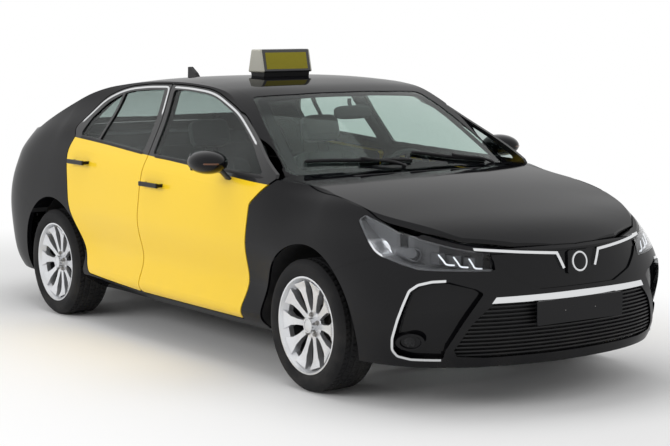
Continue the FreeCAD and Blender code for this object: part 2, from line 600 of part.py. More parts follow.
lamp = LOWER.common(prism("xz", LAMP, -1000, -440)).cut(prism("xy", BONNET, 600, 1100, GAP)).cut(liner)
lens = solids(lamp.cut(body_solid(4).common(deck_solid(4))), 2000)
bowl = lamp.common(body_solid(4).common(deck_solid(4))).cut(body_solid(72).common(deck_solid(72)))
hollow = prism("xz", LAMP, -1000, -440, -7).common(body_solid(3)).common(deck_solid(3))
hollow = hollow.cut(body_solid(62).common(deck_solid(62))).cut(prism("xy", BONNET, 600, 1100, GAP + 6))
bowl = bowl.cut(hollow.cut(arch(FA, 404, -1000, -400)))
projector = rod((1830, -700, 706), (2010, -700, 706), 30).cut(rod((1990, -700, 706), (2030, -700, 706), 25))
projector = projector.fuse(Part.makeSphere(24, V(1985, -700, 706)))
fins = []
for x, y, z in ((2085, -610, 690), (2135, -560, 680), (2178, -505, 672)):
    fin = box(x - 60, x, y - 22, y + 22, z - 24, z + 24).cut(box(x - 10, x + 5, y - 18, y + 30, z - 19, z + 30))
    fins.append(fin)
inside_lamp = lamp.common(body_solid(9).common(deck_solid(9)))
bowl = fused(bowl, fused(projector, *fins).common(inside_lamp))
bowl = solids(bowl, 500)
feature("headlamps", both(bowl))
feature("headlamp_lenses", both(lens))
tail_lamp = LOWER.cut(body_solid(60)).common(prism("xz", TAIL_LAMP, -1000, -300))
tail_lamp = solids(tail_lamp.cut(prism("xy", LID_PLAN, 500, 1500, 5)))
feature("tail_lamps", both(tail_lamp))
rear = LOWER.cut(body_solid(28)).common(prism("xz", REAR_BUMPER, -1000, 1000, -SEAM))
rear_arches = fused(arch(RA, D["arch_rear_radius"], -1000, -430), arch(RA, D["arch_rear_radius"], 430, 1000))
feature("rear_bumper", solids(rear.cut(rear_arches).cut(box(-2420, -1500, -1000, 1000, 100, 225))))


def body_revolve(node, profiles, origin, spokes=None):
    """PartDesign body: profiles turned about the Y axis through origin."""
    body = doc.addObject("PartDesign::Body", node)
    plane = [o for o in body.Origin.OriginFeatures if o.Role == "XY_Plane"][0]
    last = None
    for k, (points, cut) in enumerate(profiles):
        sketch = body.newObject("Sketcher::SketchObject", node + "_profile%d" % k)
        sketch.AttachmentSupport = (plane, [""])
        sketch.MapMode = "FlatFace"
        for i, p in enumerate(points):
            q = points[(i + 1) % len(points)]
            sketch.addGeometry(Part.LineSegment(V(p[0], p[1], 0), V(q[0], q[1], 0)), False)
        kind = "PartDesign::Groove" if cut else "PartDesign::Revolution"
        last = body.newObject(kind, node + "_turn%d" % k)
        last.Profile = sketch
        last.ReferenceAxis = (sketch, ["V_Axis"])
        last.Angle = 360
        doc.recompute()
    if spokes:
        side = [o for o in body.Origin.OriginFeatures if o.Role == "XZ_Plane"][0]
        sketch = body.newObject("Sketcher::SketchObject", node + "_spoke")
        sketch.AttachmentSupport = (side, [""])
        sketch.MapMode = "FlatFace"
        for i, p in enumerate(spokes["points"]):
            q = spokes["points"][(i + 1) % len(spokes["points"])]
            sketch.addGeometry(Part.LineSegment(V(p[0], p[1], 0), V(q[0], q[1], 0)), False)
        sketch.AttachmentOffset = Placement(V(0, 0, spokes["from"]), Rotation())
        pad = body.newObject("PartDesign::Pad", node + "_spoke_pad")
        pad.Profile = sketch
        pad.setExpression("Length", "<<Sheet>>.spoke_depth")
        pad.Reversed = spokes.get("reversed", False)
        doc.recompute()
        pattern = body.newObject("PartDesign::PolarPattern", node + "_spokes")
        pattern.Originals = [pad]
        axis = [o for o in body.Origin.OriginFeatures if o.Role == "Y_Axis"][0]
        pattern.Axis = (axis, [""])
        pattern.Angle = 360
        pattern.setExpression("Occurrences", "<<Sheet>>.spoke_count")
        doc.recompute()
        body.Tip = pattern
        sketch = body.newObject("Sketcher::SketchObject", node + "_face")
        sketch.AttachmentSupport = (plane, [""])
        sketch.MapMode = "FlatFace"
        for i, p in enumerate(spokes["face"]):
            q = spokes["face"][(i + 1) % len(spokes["face"])]
            sketch.addGeometry(Part.LineSegment(V(p[0], p[1], 0), V(q[0], q[1], 0)), False)
        face = body.newObject("PartDesign::Groove", node + "_dish")
        face.Profile = sketch
        face.ReferenceAxis = (sketch, ["V_Axis"])
        face.Angle = 360
        body.Tip = face
    body.Placement = Placement(V(*origin), Rotation())
    axle = "front_axle_x" if "front" in node else "rear_axle_x"
    body.setExpression("Placement.Base.x", "<<Sheet>>.%s" % axle)
    body.setExpression("Placement.Base.y", "<<Sheet>>.wheel_y * %d" % (1 if origin[1] > 0 else -1))
    body.setExpression("Placement.Base.z", "<<Sheet>>.tyre_radius")
    doc.recompute()
    NODES[node] = body
    return body


# Wheels: the tyre, and the rim with its spokes, hub and brake disc
TR = D["tyre_radius"]
RR = D["rim_radius"]
TW = D["tyre_width"] / 2
SIDE_WALL = [(RR - 8, 91.5), (RR + 0.4, 91.5), (RR + 0.4, 99), (RR + 12, 108), (RR + 40, TW), (TR - 22, 108),
             (TR - 2, 86)]
TYRE = [(r, -y) for r, y in SIDE_WALL] + [(TR, 0)] + SIDE_WALL[::-1]
RIM = [(RR, -103), (RR, -92), (RR - 8.4, -92), (RR - 8.4, -78), (RR - 22, -60), (RR - 22, 60), (RR - 8.4, 78),
       (RR - 8.4, 92), (RR, 92), (RR, 103),
       (RR - 8, 103), (RR - 30, 66), (RR - 30, -66), (RR - 8, -103)]
HUB = [(16.3, 18), (D["hub_radius"], 18), (D["hub_radius"], 60), (34, 78), (34, 88), (0, 88), (0, 70), (16.3, 70)]
FACE = [(36, 100), (36, 66), (66, 66), (130, 74), (180, 82), (RR - 27, 92), (RR - 27, 100)]
DISC = [(16.3, -18), (D["disc_radius"], -18), (D["disc_radius"], 4), (90, 4), (84, 18.5), (16.3, 18.5)]
for sgn, word in ((-1, "right"), (1, "left")):
    for x, end in ((FA, "front"), (RA, "rear")):
        tyre = [(r, sgn * y) for r, y in TYRE]
        body_revolve("tyre_%s_%s" % (end, word), [(tyre, False)], (x, sgn * WY, TR))
        # The pad grows from the sketch towards the wheel's outer face
        spoke = [(28, -13), (112, -14), (160, -21), (RR - 26, -46), (RR - 26, 46), (160, 21), (112, 14),
                 (28, 13)]
        rim = [([(r, sgn * y) for r, y in p], False) for p in (RIM, HUB, DISC)]
        start = 46 if sgn < 0 else -46
        dish = [(r, sgn * y) for r, y in FACE]
        body_revolve("alloy_wheel_%s_%s" % (end, word), rim, (x, sgn * WY, TR),
                     {"points": spoke, "from": start, "reversed": sgn > 0, "face": dish})


def extruded(points, y0, y1):
    return prism("xz", points, y0, y1)


# Floor: pressed pan with firewall, tunnel, seat step, boot floor and rear wheel housings
inside = body_solid(100.5, True).common(box(-2180, 1100, -1000, 1000, 140, 1460))
PAN = [(1052, 860), (1052, 420), (985, 262), (930, 214), (-560, 214), (-620, 330), (-1180, 372), (-1260, 480),
       (-1420, 505), (-2110, 505), (-2150, 620), (-2150, 760), (-2140, 760), (-2140, 620), (-2103, 513),
       (-1420, 513), (-1254, 488), (-1176, 380), (-612, 338), (-552, 222), (926, 222), (977, 268), (1044, 422),
       (1044, 860)]
pan = extruded(PAN, -1000, 1000).common(inside)
tunnel = prism("yz", [(-150, 222), (-120, 320), (120, 320), (150, 222), (140, 222), (112, 312), (-112, 312),
                      (-140, 222)], -545, 960)
pan = pan.cut(prism("yz", [(-141, 200), (-113, 300), (113, 300), (141, 200)], -500, 920))
well = arch(RA, 404, -780, -545).cut(arch(RA, 392.6, -780, -555)).common(box(-1800, -900, -780, -540, 214, 760))
well = well.cut(box(RA - 110, RA + 160, -600, -500, 200, 430))
well = well.common(inside)
hole = arch(RA, 404, -1000, -545).fuse(arch(FA, 398.6, -1000, -454.4))
pan = pan.cut(hole).cut(mirrored(hole))
shelf = TOP.common(DECK.fuse(TOP)).common(prism("xy", [(-1440, -560), (-1760, -640), (-1760, 640), (-1440, 560)],
                                                1000, 1300))
back = extruded([(-1180, 380), (-1225, 500), (-1440, 1040), (-1448, 1040), (-1233, 500), (-1188, 380)], -540, 540)
brackets = []
for y in (-610, 610):
    for a, b in ((y - 17, y - 9), (y + 9, y + 17)):
        brackets.append(prism("xz", [(1046, 820), (1052, 820), (BX + 8, BZ - 4), (BX + 8, BZ + 8), (BX - 8, BZ + 8),
                                     (BX - 12, BZ - 10), (1044, 870)], a, b))
    brackets.append(rod((BX, y - 17, BZ), (BX, y + 17, BZ), 5))
feature("floor_pan", fused(pan, tunnel.common(inside), back, well, mirrored(well), *brackets))

# Deck strip between rear window and lid, with the parcel shelf below it
strip = DECK.fuse(TOP).common(BODY).common(box(-1757, -1400, -479.7, 479.7, 1000, 1300))
strip = strip.cut(DECK.copy().translated(V(0, 0, -12)).fuse(top_solid(12)))
strip = strip.cut(prism("xy", REAR_SCREEN, 1000, 1500, 0.3))
deck_plate = box(-1757, -1445, -479.7, 479.7, 1040, 1052)
deck_web = box(-1757, -1745, -479.7, 479.7, 1040, 1092)
shelf = fused(strip, deck_plate, deck_web)
for y in (-250, 250):
    for a, b in ((y - 20, y - 13), (y + 13, y + 20)):
        shelf = shelf.fuse(prism("xz", [(LX - 3, LZ + 3), (LX - 3, LZ - 3), (LX + 3, LZ - 8), (LX + 26, LZ - 42),
                                        (LX + 34, LZ - 42), (LX + 34, LZ - 30), (LX + 3, LZ + 3)], a, b))
    shelf = shelf.fuse(rod((LX, y - 20, LZ), (LX, y + 20, LZ), 3))
feature("rear_shelf", solids(shelf))

# Cowl between bonnet and windscreen
cowl = LOWER.common(prism("xy", [(1094, -735), (1160, -480), (1182, -200), (1184, 0), (1182, 200), (1160, 480),
                                 (1094, 735), (1010, 735), (1010, -735)], 900, 1100))
cowl = cowl.cut(deck_solid(24).common(body_solid(24))).cut(TOP.common(box(700, 1190, -900, 900, 900, 1200)))
cowl = cowl.cut(prism("xy", SCREEN, 800, 1500, 0.3)).cut(side).cut(mirrored(side))
cowl = cowl.cut(fender).cut(mirrored(fender)).common(DECK.translated(V(0, 0, -14)))
cowl = cowl.cut(HINGE_SLOTS)
feature("cowl", solids(cowl, 5000))

# Front structure: wheel housings, side rails, struts and the panel behind the grille
strut = fused(rod((FA, -612, 500), (FA, -575, 700), 18), rod((FA, -585, 640), (FA, -572, 706), 52),
              box(FA - 22, FA + 22, -706, -600, 488, 512), column(FA, -KY, 8, 430, 500))
rail = box(1062, 2110, -452, -392, 400, 500)
structure = fused(liner, strut, rail, box(1600, 1660, -396, -380.3, 420, 480))
panel = box(2090, 2120, -500, 500, 300, 660)
structure = fused(structure, mirrored(structure), panel, box(2060, 2120, -430, 430, 640, 670))
feature("front_structure", structure)
block = doc.addObject("Part::Box", "engine_box")
for prop, term in (("Length", "engine_length"), ("Width", "engine_width"), ("Height", "engine_height"),
                   ("Placement.Base.x", "engine_back_x"), ("Placement.Base.z", "engine_low_z")):
    block.setExpression(prop, "<<Sheet>>." + term)
block.setExpression("Placement.Base.y", "-<<Sheet>>.engine_width / 2")
doc.recompute()
engine = doc.addObject("Part::Fillet", "engine_block")
engine.Base = block
engine.Edges = [(i + 1, D["engine_edge"], D["engine_edge"]) for i in range(12)]
doc.recompute()
NODES["engine_block"] = engine

# Front subframe with the lower arms
arm = fused(box(FA - 30, FA + 30, -700, -330, 196, 214), column(FA, -KY, 30, 192, 218))
arm = arm.cut(column(FA, -KY, 8.3, 180, 230))
cross = box(1180, 1560, -340, 340, 190, 240).cut(box(1240, 1500, -260, 260, 180, 250))
mounts = fused(box(1190, 1230, -440, -330, 200, 240), box(1190, 1230, -440, -400, 200, 399.7),
               box(1510, 1550, -440, -330, 200, 240), box(1510, 1550, -440, -400, 200, 399.7))
feature("front_subframe", fused(cross, arm, mirrored(arm), mounts, mirrored(mounts)))

# Steering knuckles with stub axle and caliper
kn = fused(column(FA, -KY, 24, 222, 478), rod((FA, -KY, TR), (FA, -WY - 60, TR), 16),
           rod((FA, -KY, TR), (FA, -720, TR), 45), column(FA, -KY, 8, 188, 222))
kn = kn.cut(column(FA, -KY, 8.3, 425, 480))
caliper = fused(box(FA - 150, FA - 94, -778, -722, 262, 372), box(FA - 100, FA - 10, -722, -700, 290, 344))
caliper = caliper.cut(Part.makeCylinder(143, 30, V(FA, -WY - 8, TR), V(0, 1, 0)))
kn = solids(kn.fuse(caliper))
feature("knuckle_right", kn)
feature("knuckle_left", mirrored(kn))

# Rear axle: beam, trailing arms, stub axles and dampers
beam = box(RA + 70, RA + 130, -500, 500, 250, 330)
trail = fused(box(RA - 60, RA + 480, -535, -495, 255, 315), rod((RA, -520, TR), (RA, -WY - 60, TR), 16),
              rod((RA, -630, TR), (RA, -722, TR), 42), box(RA - 40, RA + 40, -650, -500, 262, 345),
              rod((RA - 60, -602, 280), (RA - 50, -596, 698), 20), box(RA - 80, RA - 30, -622, -500, 270, 300),
              box(RA + 440, RA + 500, -550, -480, 245, 330),
              box(RA + 455, RA + 485, -535, -495, 320, 346), rod((RA + 10, -462, 320), (RA + 10, -462, 476), 40),
              box(RA - 34, RA + 130, -535, -418, 300, 340))
feature("rear_axle", solids(fused(beam, trail, mirrored(trail))))
feature("exhaust", fused(rod((900, -60, 178), (-1000, -60, 178), 26), rod((-1000, -60, 178), (-1500, -250, 240), 26),
                         soft_box(-2080, -1650, -530, -120, 240, 400, 40),
                         rod((-1500, -250, 240), (-1700, -300, 300), 26),
                         box(-2000, -1980, -340, -310, 395, 504.7), box(-1760, -1740, -340, -310, 395, 504.7),
                         box(-420, -400, -72, -48, 195, 213.7)))

# Cabin: seats, rear bench, fascia and steering wheel
seat = soft_box(-190, 300, -620, -130, 300, 430, 45)
rest = soft_box(-150, -30, -610, -140, 0, 600, 45)
rest.rotate(V(-90, 0, 0), V(0, 1, 0), -16)
rest.translate(V(-60, 0, 400))
head = soft_box(-60, 30, -500, -250, 0, 170, 38)
head.translate(V(-310, 0, 1030))
head_posts = [rod((-262, y, 960), (-275, y, 1060), 8) for y in (-340, -410)]
seat = fused(seat, rest, head, *head_posts, box(-180, 240, -560, -190, 222.3, 310))
feature("front_seats", both(seat))
bench = prism("xz", [(-640, 398, 20), (-618, 480, 35), (-720, 505, 60), (-1050, 472, 60), (-1250, 985, 40),
                     (-1330, 1030, 30), (-1408, 985, 20), (-1214, 500), (-1172, 400)], -600, 600)
bench_gap = arch(RA, 405, -1000, -544)
feature("rear_bench", bench.common(body_solid(112, True)).cut(bench_gap).cut(mirrored(bench_gap)))
dash = extruded([(1043.7, 890), (1043.7, 640), (900, 560), (740, 590), (690, 700), (720, 840), (790, 905),
                 (900, 925)], -690, 690)
DASH_PLAN = [(600, -670), (900, -670), (1044, -560), (1044, 560), (900, 670), (600, 670)]
dash = dash.common(prism("xy", DASH_PLAN, 500, 1000))
dash = dash.common(body_solid(150, True))
ring = Part.makeTorus(D["steering_wheel_radius"], 15, V(0, 0, 0), V(0, 0, 1))
wheel_parts = fused(ring, Part.makeCylinder(52, 34, V(0, 0, -22)), box(-175, 175, -18, 18, -12, 0),
                    box(-14, 14, -175, 0, -12, 0), Part.makeCylinder(12, 250, V(0, 0, -270)))
tilt = Placement(V(478, D["steering_wheel_y"], 862), Rotation(V(0, 1, 0), -68))
wheel_parts.Placement = tilt
feature("steering_wheel", wheel_parts)
column_tube = Part.makeCylinder(30, 260, V(0, 0, -300)).cut(Part.makeCylinder(12.3, 245, V(0, 0, -285)))
column_tube.Placement = tilt
bore = Part.makeCylinder(30.3, 262, V(0, 0, -301))
bore.Placement = tilt
dash = dash.cut(bore)
feature("steering_column", column_tube)
feature("dashboard", solids(dash))

# Grille, mirrors, handles, roof sign and small outside parts
egg = FreeCAD.Matrix()
egg.scale(128, 92, 60)
mirror_head = Part.makeSphere(1).transformGeometry(egg)
mirror_head.translate(V(622, -948, 1044))
mirror_head = mirror_head.cut(box(400, 566, -1100, -800, 900, 1200))
mirror_head = mirror_head.cut(soft_box(548, 572, -1022, -884, 1002, 1086, 8))
stalk = Part.makeLoft([Part.Wire(Part.Ellipse(V(650, -838, 952), 34, 13).toShape()),
                       Part.Wire(Part.Ellipse(V(646, -895, 1010), 30, 12).toShape())], True)
mirror = fused(mirror_head, stalk).cut(mid_body)
feature("mirror_right", mirror)
feature("mirror_left", mirrored(mirror))
handle_f = fused(soft_box(-182, 20, -912, -896, 862, 888, 6), box(-176, -160, -898, -850, 866, 884),
                 box(-2, 14, -898, -850, 866, 884)).cut(front_door)
handle_r = fused(soft_box(-1060, -860, -908, -892, 927, 953, 6), box(-1054, -1038, -894, -830, 931, 949),
                 box(-882, -866, -894, -830, 931, 949)).cut(rear_door)
feature("handle_front_right", solids(handle_f, 300))
feature("handle_front_left", mirrored(solids(handle_f, 300)))
feature("handle_rear_right", solids(handle_r, 300))
feature("handle_rear_left", mirrored(solids(handle_r, 300)))
SIGN_SIDE = [(-88, 1456), (-118, 1584), (-214, 1584), (-250, 1456)]
sign_body = doc.addObject("PartDesign::Body", "roof_sign")
sign_plane = [o for o in sign_body.Origin.OriginFeatures if o.Role == "XZ_Plane"][0]
sign_sketch = sign_body.newObject("Sketcher::SketchObject", "roof_sign_side")
sign_sketch.AttachmentSupport = (sign_plane, [""])
sign_sketch.MapMode = "FlatFace"
for i, p in enumerate(SIGN_SIDE):
    q = SIGN_SIDE[(i + 1) % 4]
    sign_sketch.addGeometry(Part.LineSegment(V(p[0], p[1], 0), V(q[0], q[1], 0)), False)
sign_pad = sign_body.newObject("PartDesign::Pad", "roof_sign_pad")
sign_pad.Profile = sign_sketch
sign_pad.setExpression("Length", "<<Sheet>>.sign_width")
sign_pad.Midplane = True
doc.recompute()
sign_round = sign_body.newObject("PartDesign::Fillet", "roof_sign_edges")
sign_round.Base = (sign_pad, ["Edge%d" % (i + 1) for i in range(12)])
sign_round.Radius = 9
sign_body.Tip = sign_round
doc.recompute()
NODES["roof_sign"] = sign_body
foot = prism("xz", [(-240, 1456.5), (-98, 1456.5), (-114, 1395), (-224, 1395)], -150, 150)
feature("sign_foot", foot.cut(TOP).cut(sign_body.Shape))
fin = extruded([(-1050, 1375), (-1110, 1430), (-1172, 1466), (-1192, 1464), (-1200, 1330)], -12, 12)
feature("aerial_fin", fin.cut(roof).cut(TOP))

doc.recompute()
os.makedirs("parts", exist_ok=True)
for node, obj in NODES.items():
    assert "Invalid" not in obj.State and "Error" not in obj.State, node
    assert not obj.Shape.isNull() and obj.Shape.isValid(), node
    obj.Shape.exportStep("parts/%s.step" % node)
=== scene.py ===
"""Looks of a four-door saloon taxi cab: its finishes, its small fittings and a white studio."""
import math

import bmesh
import bpy
import numpy as np
from bpy.props import FloatProperty, FloatVectorProperty, IntProperty, PointerProperty
from bpy.types import NodeSocket, Operator, Panel, PropertyGroup
from mathutils import Matrix, Vector
from mathutils.bvhtree import BVHTree


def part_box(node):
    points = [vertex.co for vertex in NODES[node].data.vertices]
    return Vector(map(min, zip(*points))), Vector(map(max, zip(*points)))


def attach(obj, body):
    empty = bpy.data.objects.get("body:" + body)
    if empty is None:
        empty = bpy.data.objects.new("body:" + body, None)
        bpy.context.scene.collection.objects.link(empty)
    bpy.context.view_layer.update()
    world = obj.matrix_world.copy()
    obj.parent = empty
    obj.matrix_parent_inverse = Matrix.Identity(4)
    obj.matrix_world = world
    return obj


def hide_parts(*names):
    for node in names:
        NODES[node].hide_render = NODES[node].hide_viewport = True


bl_info = {
    "name": "Taxi Cab Looks",
    "version": (1, 0, 0),
    "blender": (4, 5, 0),
    "location": "View3D > Sidebar > Taxi",
    "description": "Finishes, fittings and studio of a saloon taxi cab",
    "category": "Object",
}

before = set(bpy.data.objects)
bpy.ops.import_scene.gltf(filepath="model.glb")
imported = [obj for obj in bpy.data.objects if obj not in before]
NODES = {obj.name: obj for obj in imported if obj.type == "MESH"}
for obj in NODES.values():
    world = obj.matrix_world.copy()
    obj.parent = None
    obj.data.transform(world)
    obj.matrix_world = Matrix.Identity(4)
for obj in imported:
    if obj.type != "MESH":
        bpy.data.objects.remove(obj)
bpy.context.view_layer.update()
SIDES = (("right", -1.0), ("left", 1.0))
CORNERS = [(end, side, sign) for end in ("front", "rear") for side, sign in SIDES]
MATERIALS = {}


# Sizes and colours that a user would change
def length(name, text, default, low=0.0, high=5.0):
    return FloatProperty(name=name, description=text, default=default, min=low, max=high, unit="LENGTH")


def tint(name, text, default):
    return FloatVectorProperty(name=name, description=text, default=default, size=3, min=0.0, max=1.0,
                               subtype="COLOR")


def amount(name, text, default, low=0.0, high=10.0):
    return FloatProperty(name=name, description=text, default=default, min=low, max=high)


class TaxiColours(PropertyGroup):
    """Colours of the cab's finishes."""
    body: tint("Body", "Gloss paint of the body shell", (0.0035, 0.0035, 0.0045))
    door: tint("Doors", "Gloss paint of the door panels", (0.90, 0.60, 0.016))
    glass: tint("Glass", "Tint of the window glass", (0.50, 0.57, 0.55))
    screen: tint("Windscreen", "Tint of the windscreen", (0.72, 0.84, 0.79))
    alloy: tint("Wheels", "Machined face of the wheels", (0.74, 0.75, 0.77))
    cloth: tint("Seats", "Woven seat cloth", (0.045, 0.046, 0.050))
    sign: tint("Sign", "Shell of the roof sign", (0.40, 0.39, 0.33))
    panel: tint("Sign panel", "Blank front panel of the roof sign", (0.25, 0.215, 0.012))


class TaxiSizes(PropertyGroup):
    """Sizes of the fittings."""
    strip_width: length("Window strip", "Width of the bright strip over the side windows", 0.013)
    strip_proud: length("Strip height", "How far a strip stands off its panel", 0.003)
    bolt_circle: length("Bolt circle", "Radius of the wheel bolt circle", 0.050)
    bolt_across: length("Bolt head", "Width of a wheel bolt's head across its flats", 0.017)
    bolt_count: IntProperty(name="Bolts", description="Wheel bolts on each wheel", default=5, min=3, max=8)
    tread_depth: length("Tread depth", "Depth of the tyre's grooves", 0.007)
    tread_pitches: IntProperty(name="Tread pitches", description="Tread blocks round a tyre", default=66,
                               min=20, max=120)
    wiper_height: length("Wiper height", "Height of a wiper blade over the glass", 0.022)
    badge_radius: length("Badge", "Radius of the plain round badge", 0.047)


class TaxiStudio(PropertyGroup):
    """Light and camera."""
    ambient: amount("Ambient", "Strength of the world's light on matt surfaces", 0.62)
    key_power: amount("Side light", "Power of the wide light at the right, in watts", 170.0, 0.0, 2000.0)
    top_power: amount("Top light", "Power of the light overhead, in watts", 90.0, 0.0, 2000.0)
    front_power: amount("Front light", "Power of the light ahead of the cab, in watts", 45.0, 0.0, 2000.0)
    lens: FloatProperty(name="Lens", description="Focal length on a 36 mm sensor", default=92.355, min=20.0,
                        max=300.0, unit="CAMERA")


def colours():
    return bpy.context.scene.taxi_colours


def sizes():
    return bpy.context.scene.taxi_sizes


# Shader nodes
def feed(tree, socket, value):
    """Links a value to a socket, or sets a constant on it."""
    if isinstance(value, Value):
        value = value.socket
    if isinstance(value, NodeSocket):
        tree.links.new(value, socket)
        return
    if socket.type == "RGBA" and len(value) == 3:
        value = (*value, 1.0)
    socket.default_value = value


def add_node(tree, kind, values, output=0, **settings):
    """Adds a shader node, feeds its inputs and gives back one of its outputs."""
    node = tree.nodes.new("ShaderNode" + kind)
    for key, setting in settings.items():
        setattr(node, key, setting)
    for key, value in values.items():
        feed(tree, node.inputs[key], value)
    return Value(tree, node.outputs[output])


class Value:
    """Number or colour in a node tree. Arithmetic on it adds maths nodes."""

    def __init__(self, tree, socket):
        self.tree = tree
        self.socket = socket

    def math(self, operation, *others):
        return add_node(self.tree, "Math", dict(enumerate((self, *others))), operation=operation)

    def __add__(self, other):
        return self.math("ADD", other)

    def __sub__(self, other):
        return self.math("SUBTRACT", other)

    def __mul__(self, other):
        return self.math("MULTIPLY", other)

    def __truediv__(self, other):
        return self.math("DIVIDE", other)

    def __gt__(self, other):
        return self.math("GREATER_THAN", other)

    def __lt__(self, other):
        return self.math("LESS_THAN", other)

    def __abs__(self):
        return self.math("ABSOLUTE")

    def wave(self, rate):
        """Sine of the value times a rate."""
        return (self * rate).math("SINE")

    def ramp(self, low, high, first=0.0, last=1.0):
        """Smooth rise from first at low to last at high."""
        return add_node(self.tree, "MapRange", dict(enumerate((self, low, high, first, last))),
                        interpolation_type="SMOOTHSTEP")

    def band(self, low, high, soft):
        """One between low and high, with soft edges."""
        return self.ramp(low, low + soft) * self.ramp(high - soft, high, 1.0, 0.0)

    def mix(self, low, high):
        """Colour between two others."""
        return add_node(self.tree, "Mix", {0: self, 6: low, 7: high}, 2, data_type="RGBA")


def noise(tree, vector, scale, detail=2.0):
    return add_node(tree, "TexNoise", {"Vector": vector, "Scale": scale, "Detail": detail}, "Fac")


def split(tree, vector):
    """The three coordinates of a vector."""
    node = tree.nodes.new("ShaderNodeSeparateXYZ")
    feed(tree, node.inputs[0], vector)
    return [Value(tree, socket) for socket in node.outputs]


def seen_directly(tree):
    """One for rays from the camera, in reflections and through glass, and zero for rays that light."""
    way = tree.nodes.new("ShaderNodeLightPath").outputs
    kinds = [Value(tree, way[name]) for name in ("Is Camera Ray", "Is Glossy Ray", "Is Transmission Ray")]
    return kinds[0].math("MAXIMUM", kinds[1].math("MAXIMUM", kinds[2]))


def mix_shaders(tree, factor, first, second):
    """Shows the second shader where the factor is one."""
    both = add_node(tree, "MixShader", {0: factor, 1: first, 2: second})
    feed(tree, tree.nodes["Material Output"].inputs["Surface"], both)


def effect(name, inputs, outputs):
    """Empty node group whose vector input comes first, with the outputs of its input node and the inputs of
    its output node."""
    tree = bpy.data.node_groups.new(name, "ShaderNodeTree")
    tree.interface.new_socket(name="Vector", in_out="INPUT", socket_type="NodeSocketVector")
    for label, kind, default in inputs:
        socket = tree.interface.new_socket(name=label, in_out="INPUT", socket_type="NodeSocket" + kind)
        socket.default_value = default
    for label, kind in outputs:
        tree.interface.new_socket(name=label, in_out="OUTPUT", socket_type="NodeSocket" + kind)
    return tree, tree.nodes.new("NodeGroupInput").outputs, tree.nodes.new("NodeGroupOutput").inputs


def grain_effect():
    """Moulded grain: small round cells with finer noise between them."""
    tree, given, result = effect("moulded_grain", (("Scale", "Float", 600.0),), (("Height", "Float"),))
    cells = add_node(tree, "TexVoronoi", {"Vector": given["Vector"], "Scale": given["Scale"]}, "Distance",
                     feature="SMOOTH_F1")
    fine = noise(tree, given["Vector"], Value(tree, given["Scale"]) * 2.5)
    feed(tree, result["Height"], fine * 0.35 + cells)


def film_effect():
    """Road film: dust that thickens towards the ground, broken up by noise."""
    tree, given, result = effect("road_film", (("Color", "Color", (0.02, 0.02, 0.02, 1.0)),
                                               ("Dust", "Color", (0.16, 0.145, 0.125, 1.0)),
                                               ("Reach", "Float", 0.6), ("Amount", "Float", 0.3)),
                                 (("Color", "Color"), ("Mask", "Float")))
    height = split(tree, given["Vector"])[2]
    low = (height / given["Reach"]).ramp(0.0, 1.0, 1.0, 0.0)
    cloud = noise(tree, given["Vector"], 9.0, 5.0).ramp(0.35, 0.75)
    mask = low * cloud * given["Amount"]
    feed(tree, result["Color"], mask.mix(given["Color"], given["Dust"]))
    feed(tree, result["Mask"], mask)


def ripple_effect():
    """Ripple of sprayed paint: a slow wave and a fine peel, both very low."""
    tree, given, result = effect("paint_ripple", (), (("Height", "Float"),))
    slow = noise(tree, given["Vector"], 7.0, 0.0)
    peel = noise(tree, given["Vector"], 260.0, 0.0)
    feed(tree, result["Height"], peel * 0.02 + slow)


def weave_effect():
    """Weave: two crossed sets of threads, each over and under the other, with painted shade where they sink.
    """
    tree, given, result = effect("woven_cloth", (("Scale", "Float", 900.0),),
                                 (("Height", "Float"), ("Shade", "Float")))
    x, y, z = split(tree, given["Vector"])
    height = y.wave(given["Scale"]) * (x + z).wave(given["Scale"])
    feed(tree, result["Height"], height)
    # Shade is a colour mask: painted shade, darker where the threads sink, plus a random tone from noise
    feed(tree, result["Shade"], height * 0.12 + noise(tree, given["Vector"], 25.0, 3.0))


class Finish:
    """Principled material with constants on the shader's own sockets, and patterns linked to them."""

    def __init__(self, name, color, rough, metal=0.0, **constants):
        material = bpy.data.materials.new(name)
        material.use_nodes = True
        self.tree = material.node_tree
        self.shader = self.tree.nodes["Principled BSDF"]
        self.place = self.tree.nodes.new("ShaderNodeTexCoord").outputs["Object"]
        self.color = tuple(color)
        self.set(Base_Color=self.color, Roughness=rough, Metallic=metal, **constants)
        MATERIALS[name] = material

    def set(self, **values):
        for key, value in values.items():
            feed(self.tree, self.shader.inputs[key.replace("_", " ")], value)

    def axes(self):
        return split(self.tree, self.place)

    def noise(self, scale, detail=2.0):
        return noise(self.tree, self.place, scale, detail)

    def effect(self, name, output="Height", **values):
        """Output of a node group that reads the object's coordinates."""
        node = self.tree.nodes.new("ShaderNodeGroup")
        node.node_tree = bpy.data.node_groups[name]
        for label, value in {"Vector": self.place, **values}.items():
            feed(self.tree, node.inputs[label], value)
        return Value(self.tree, node.outputs[output])

    def dust(self, reach, thickness, color=None, **values):
        """Road film over a colour, or over the finish's own."""
        self.set(Base_Color=self.effect("road_film", "Color", Color=color or self.color, Reach=reach,
                                        Amount=thickness, **values))

    def bump(self, height, strength, distance):
        values = {"Strength": strength, "Distance": distance, "Height": height}
        self.set(Normal=add_node(self.tree, "Bump", values))


def glass_finish(name, color, bend=1.2):
    """Clear glass for the eye, and an open way for light that only casts shadows."""
    glass = Finish(name, color, 0.0, Transmission_Weight=1.0, IOR=bend)
    clear = add_node(glass.tree, "BsdfTransparent", {0: glass.color})
    shadow = add_node(glass.tree, "LightPath", {}, "Is Shadow Ray")
    mix_shaders(glass.tree, shadow, glass.shader.outputs[0], clear)


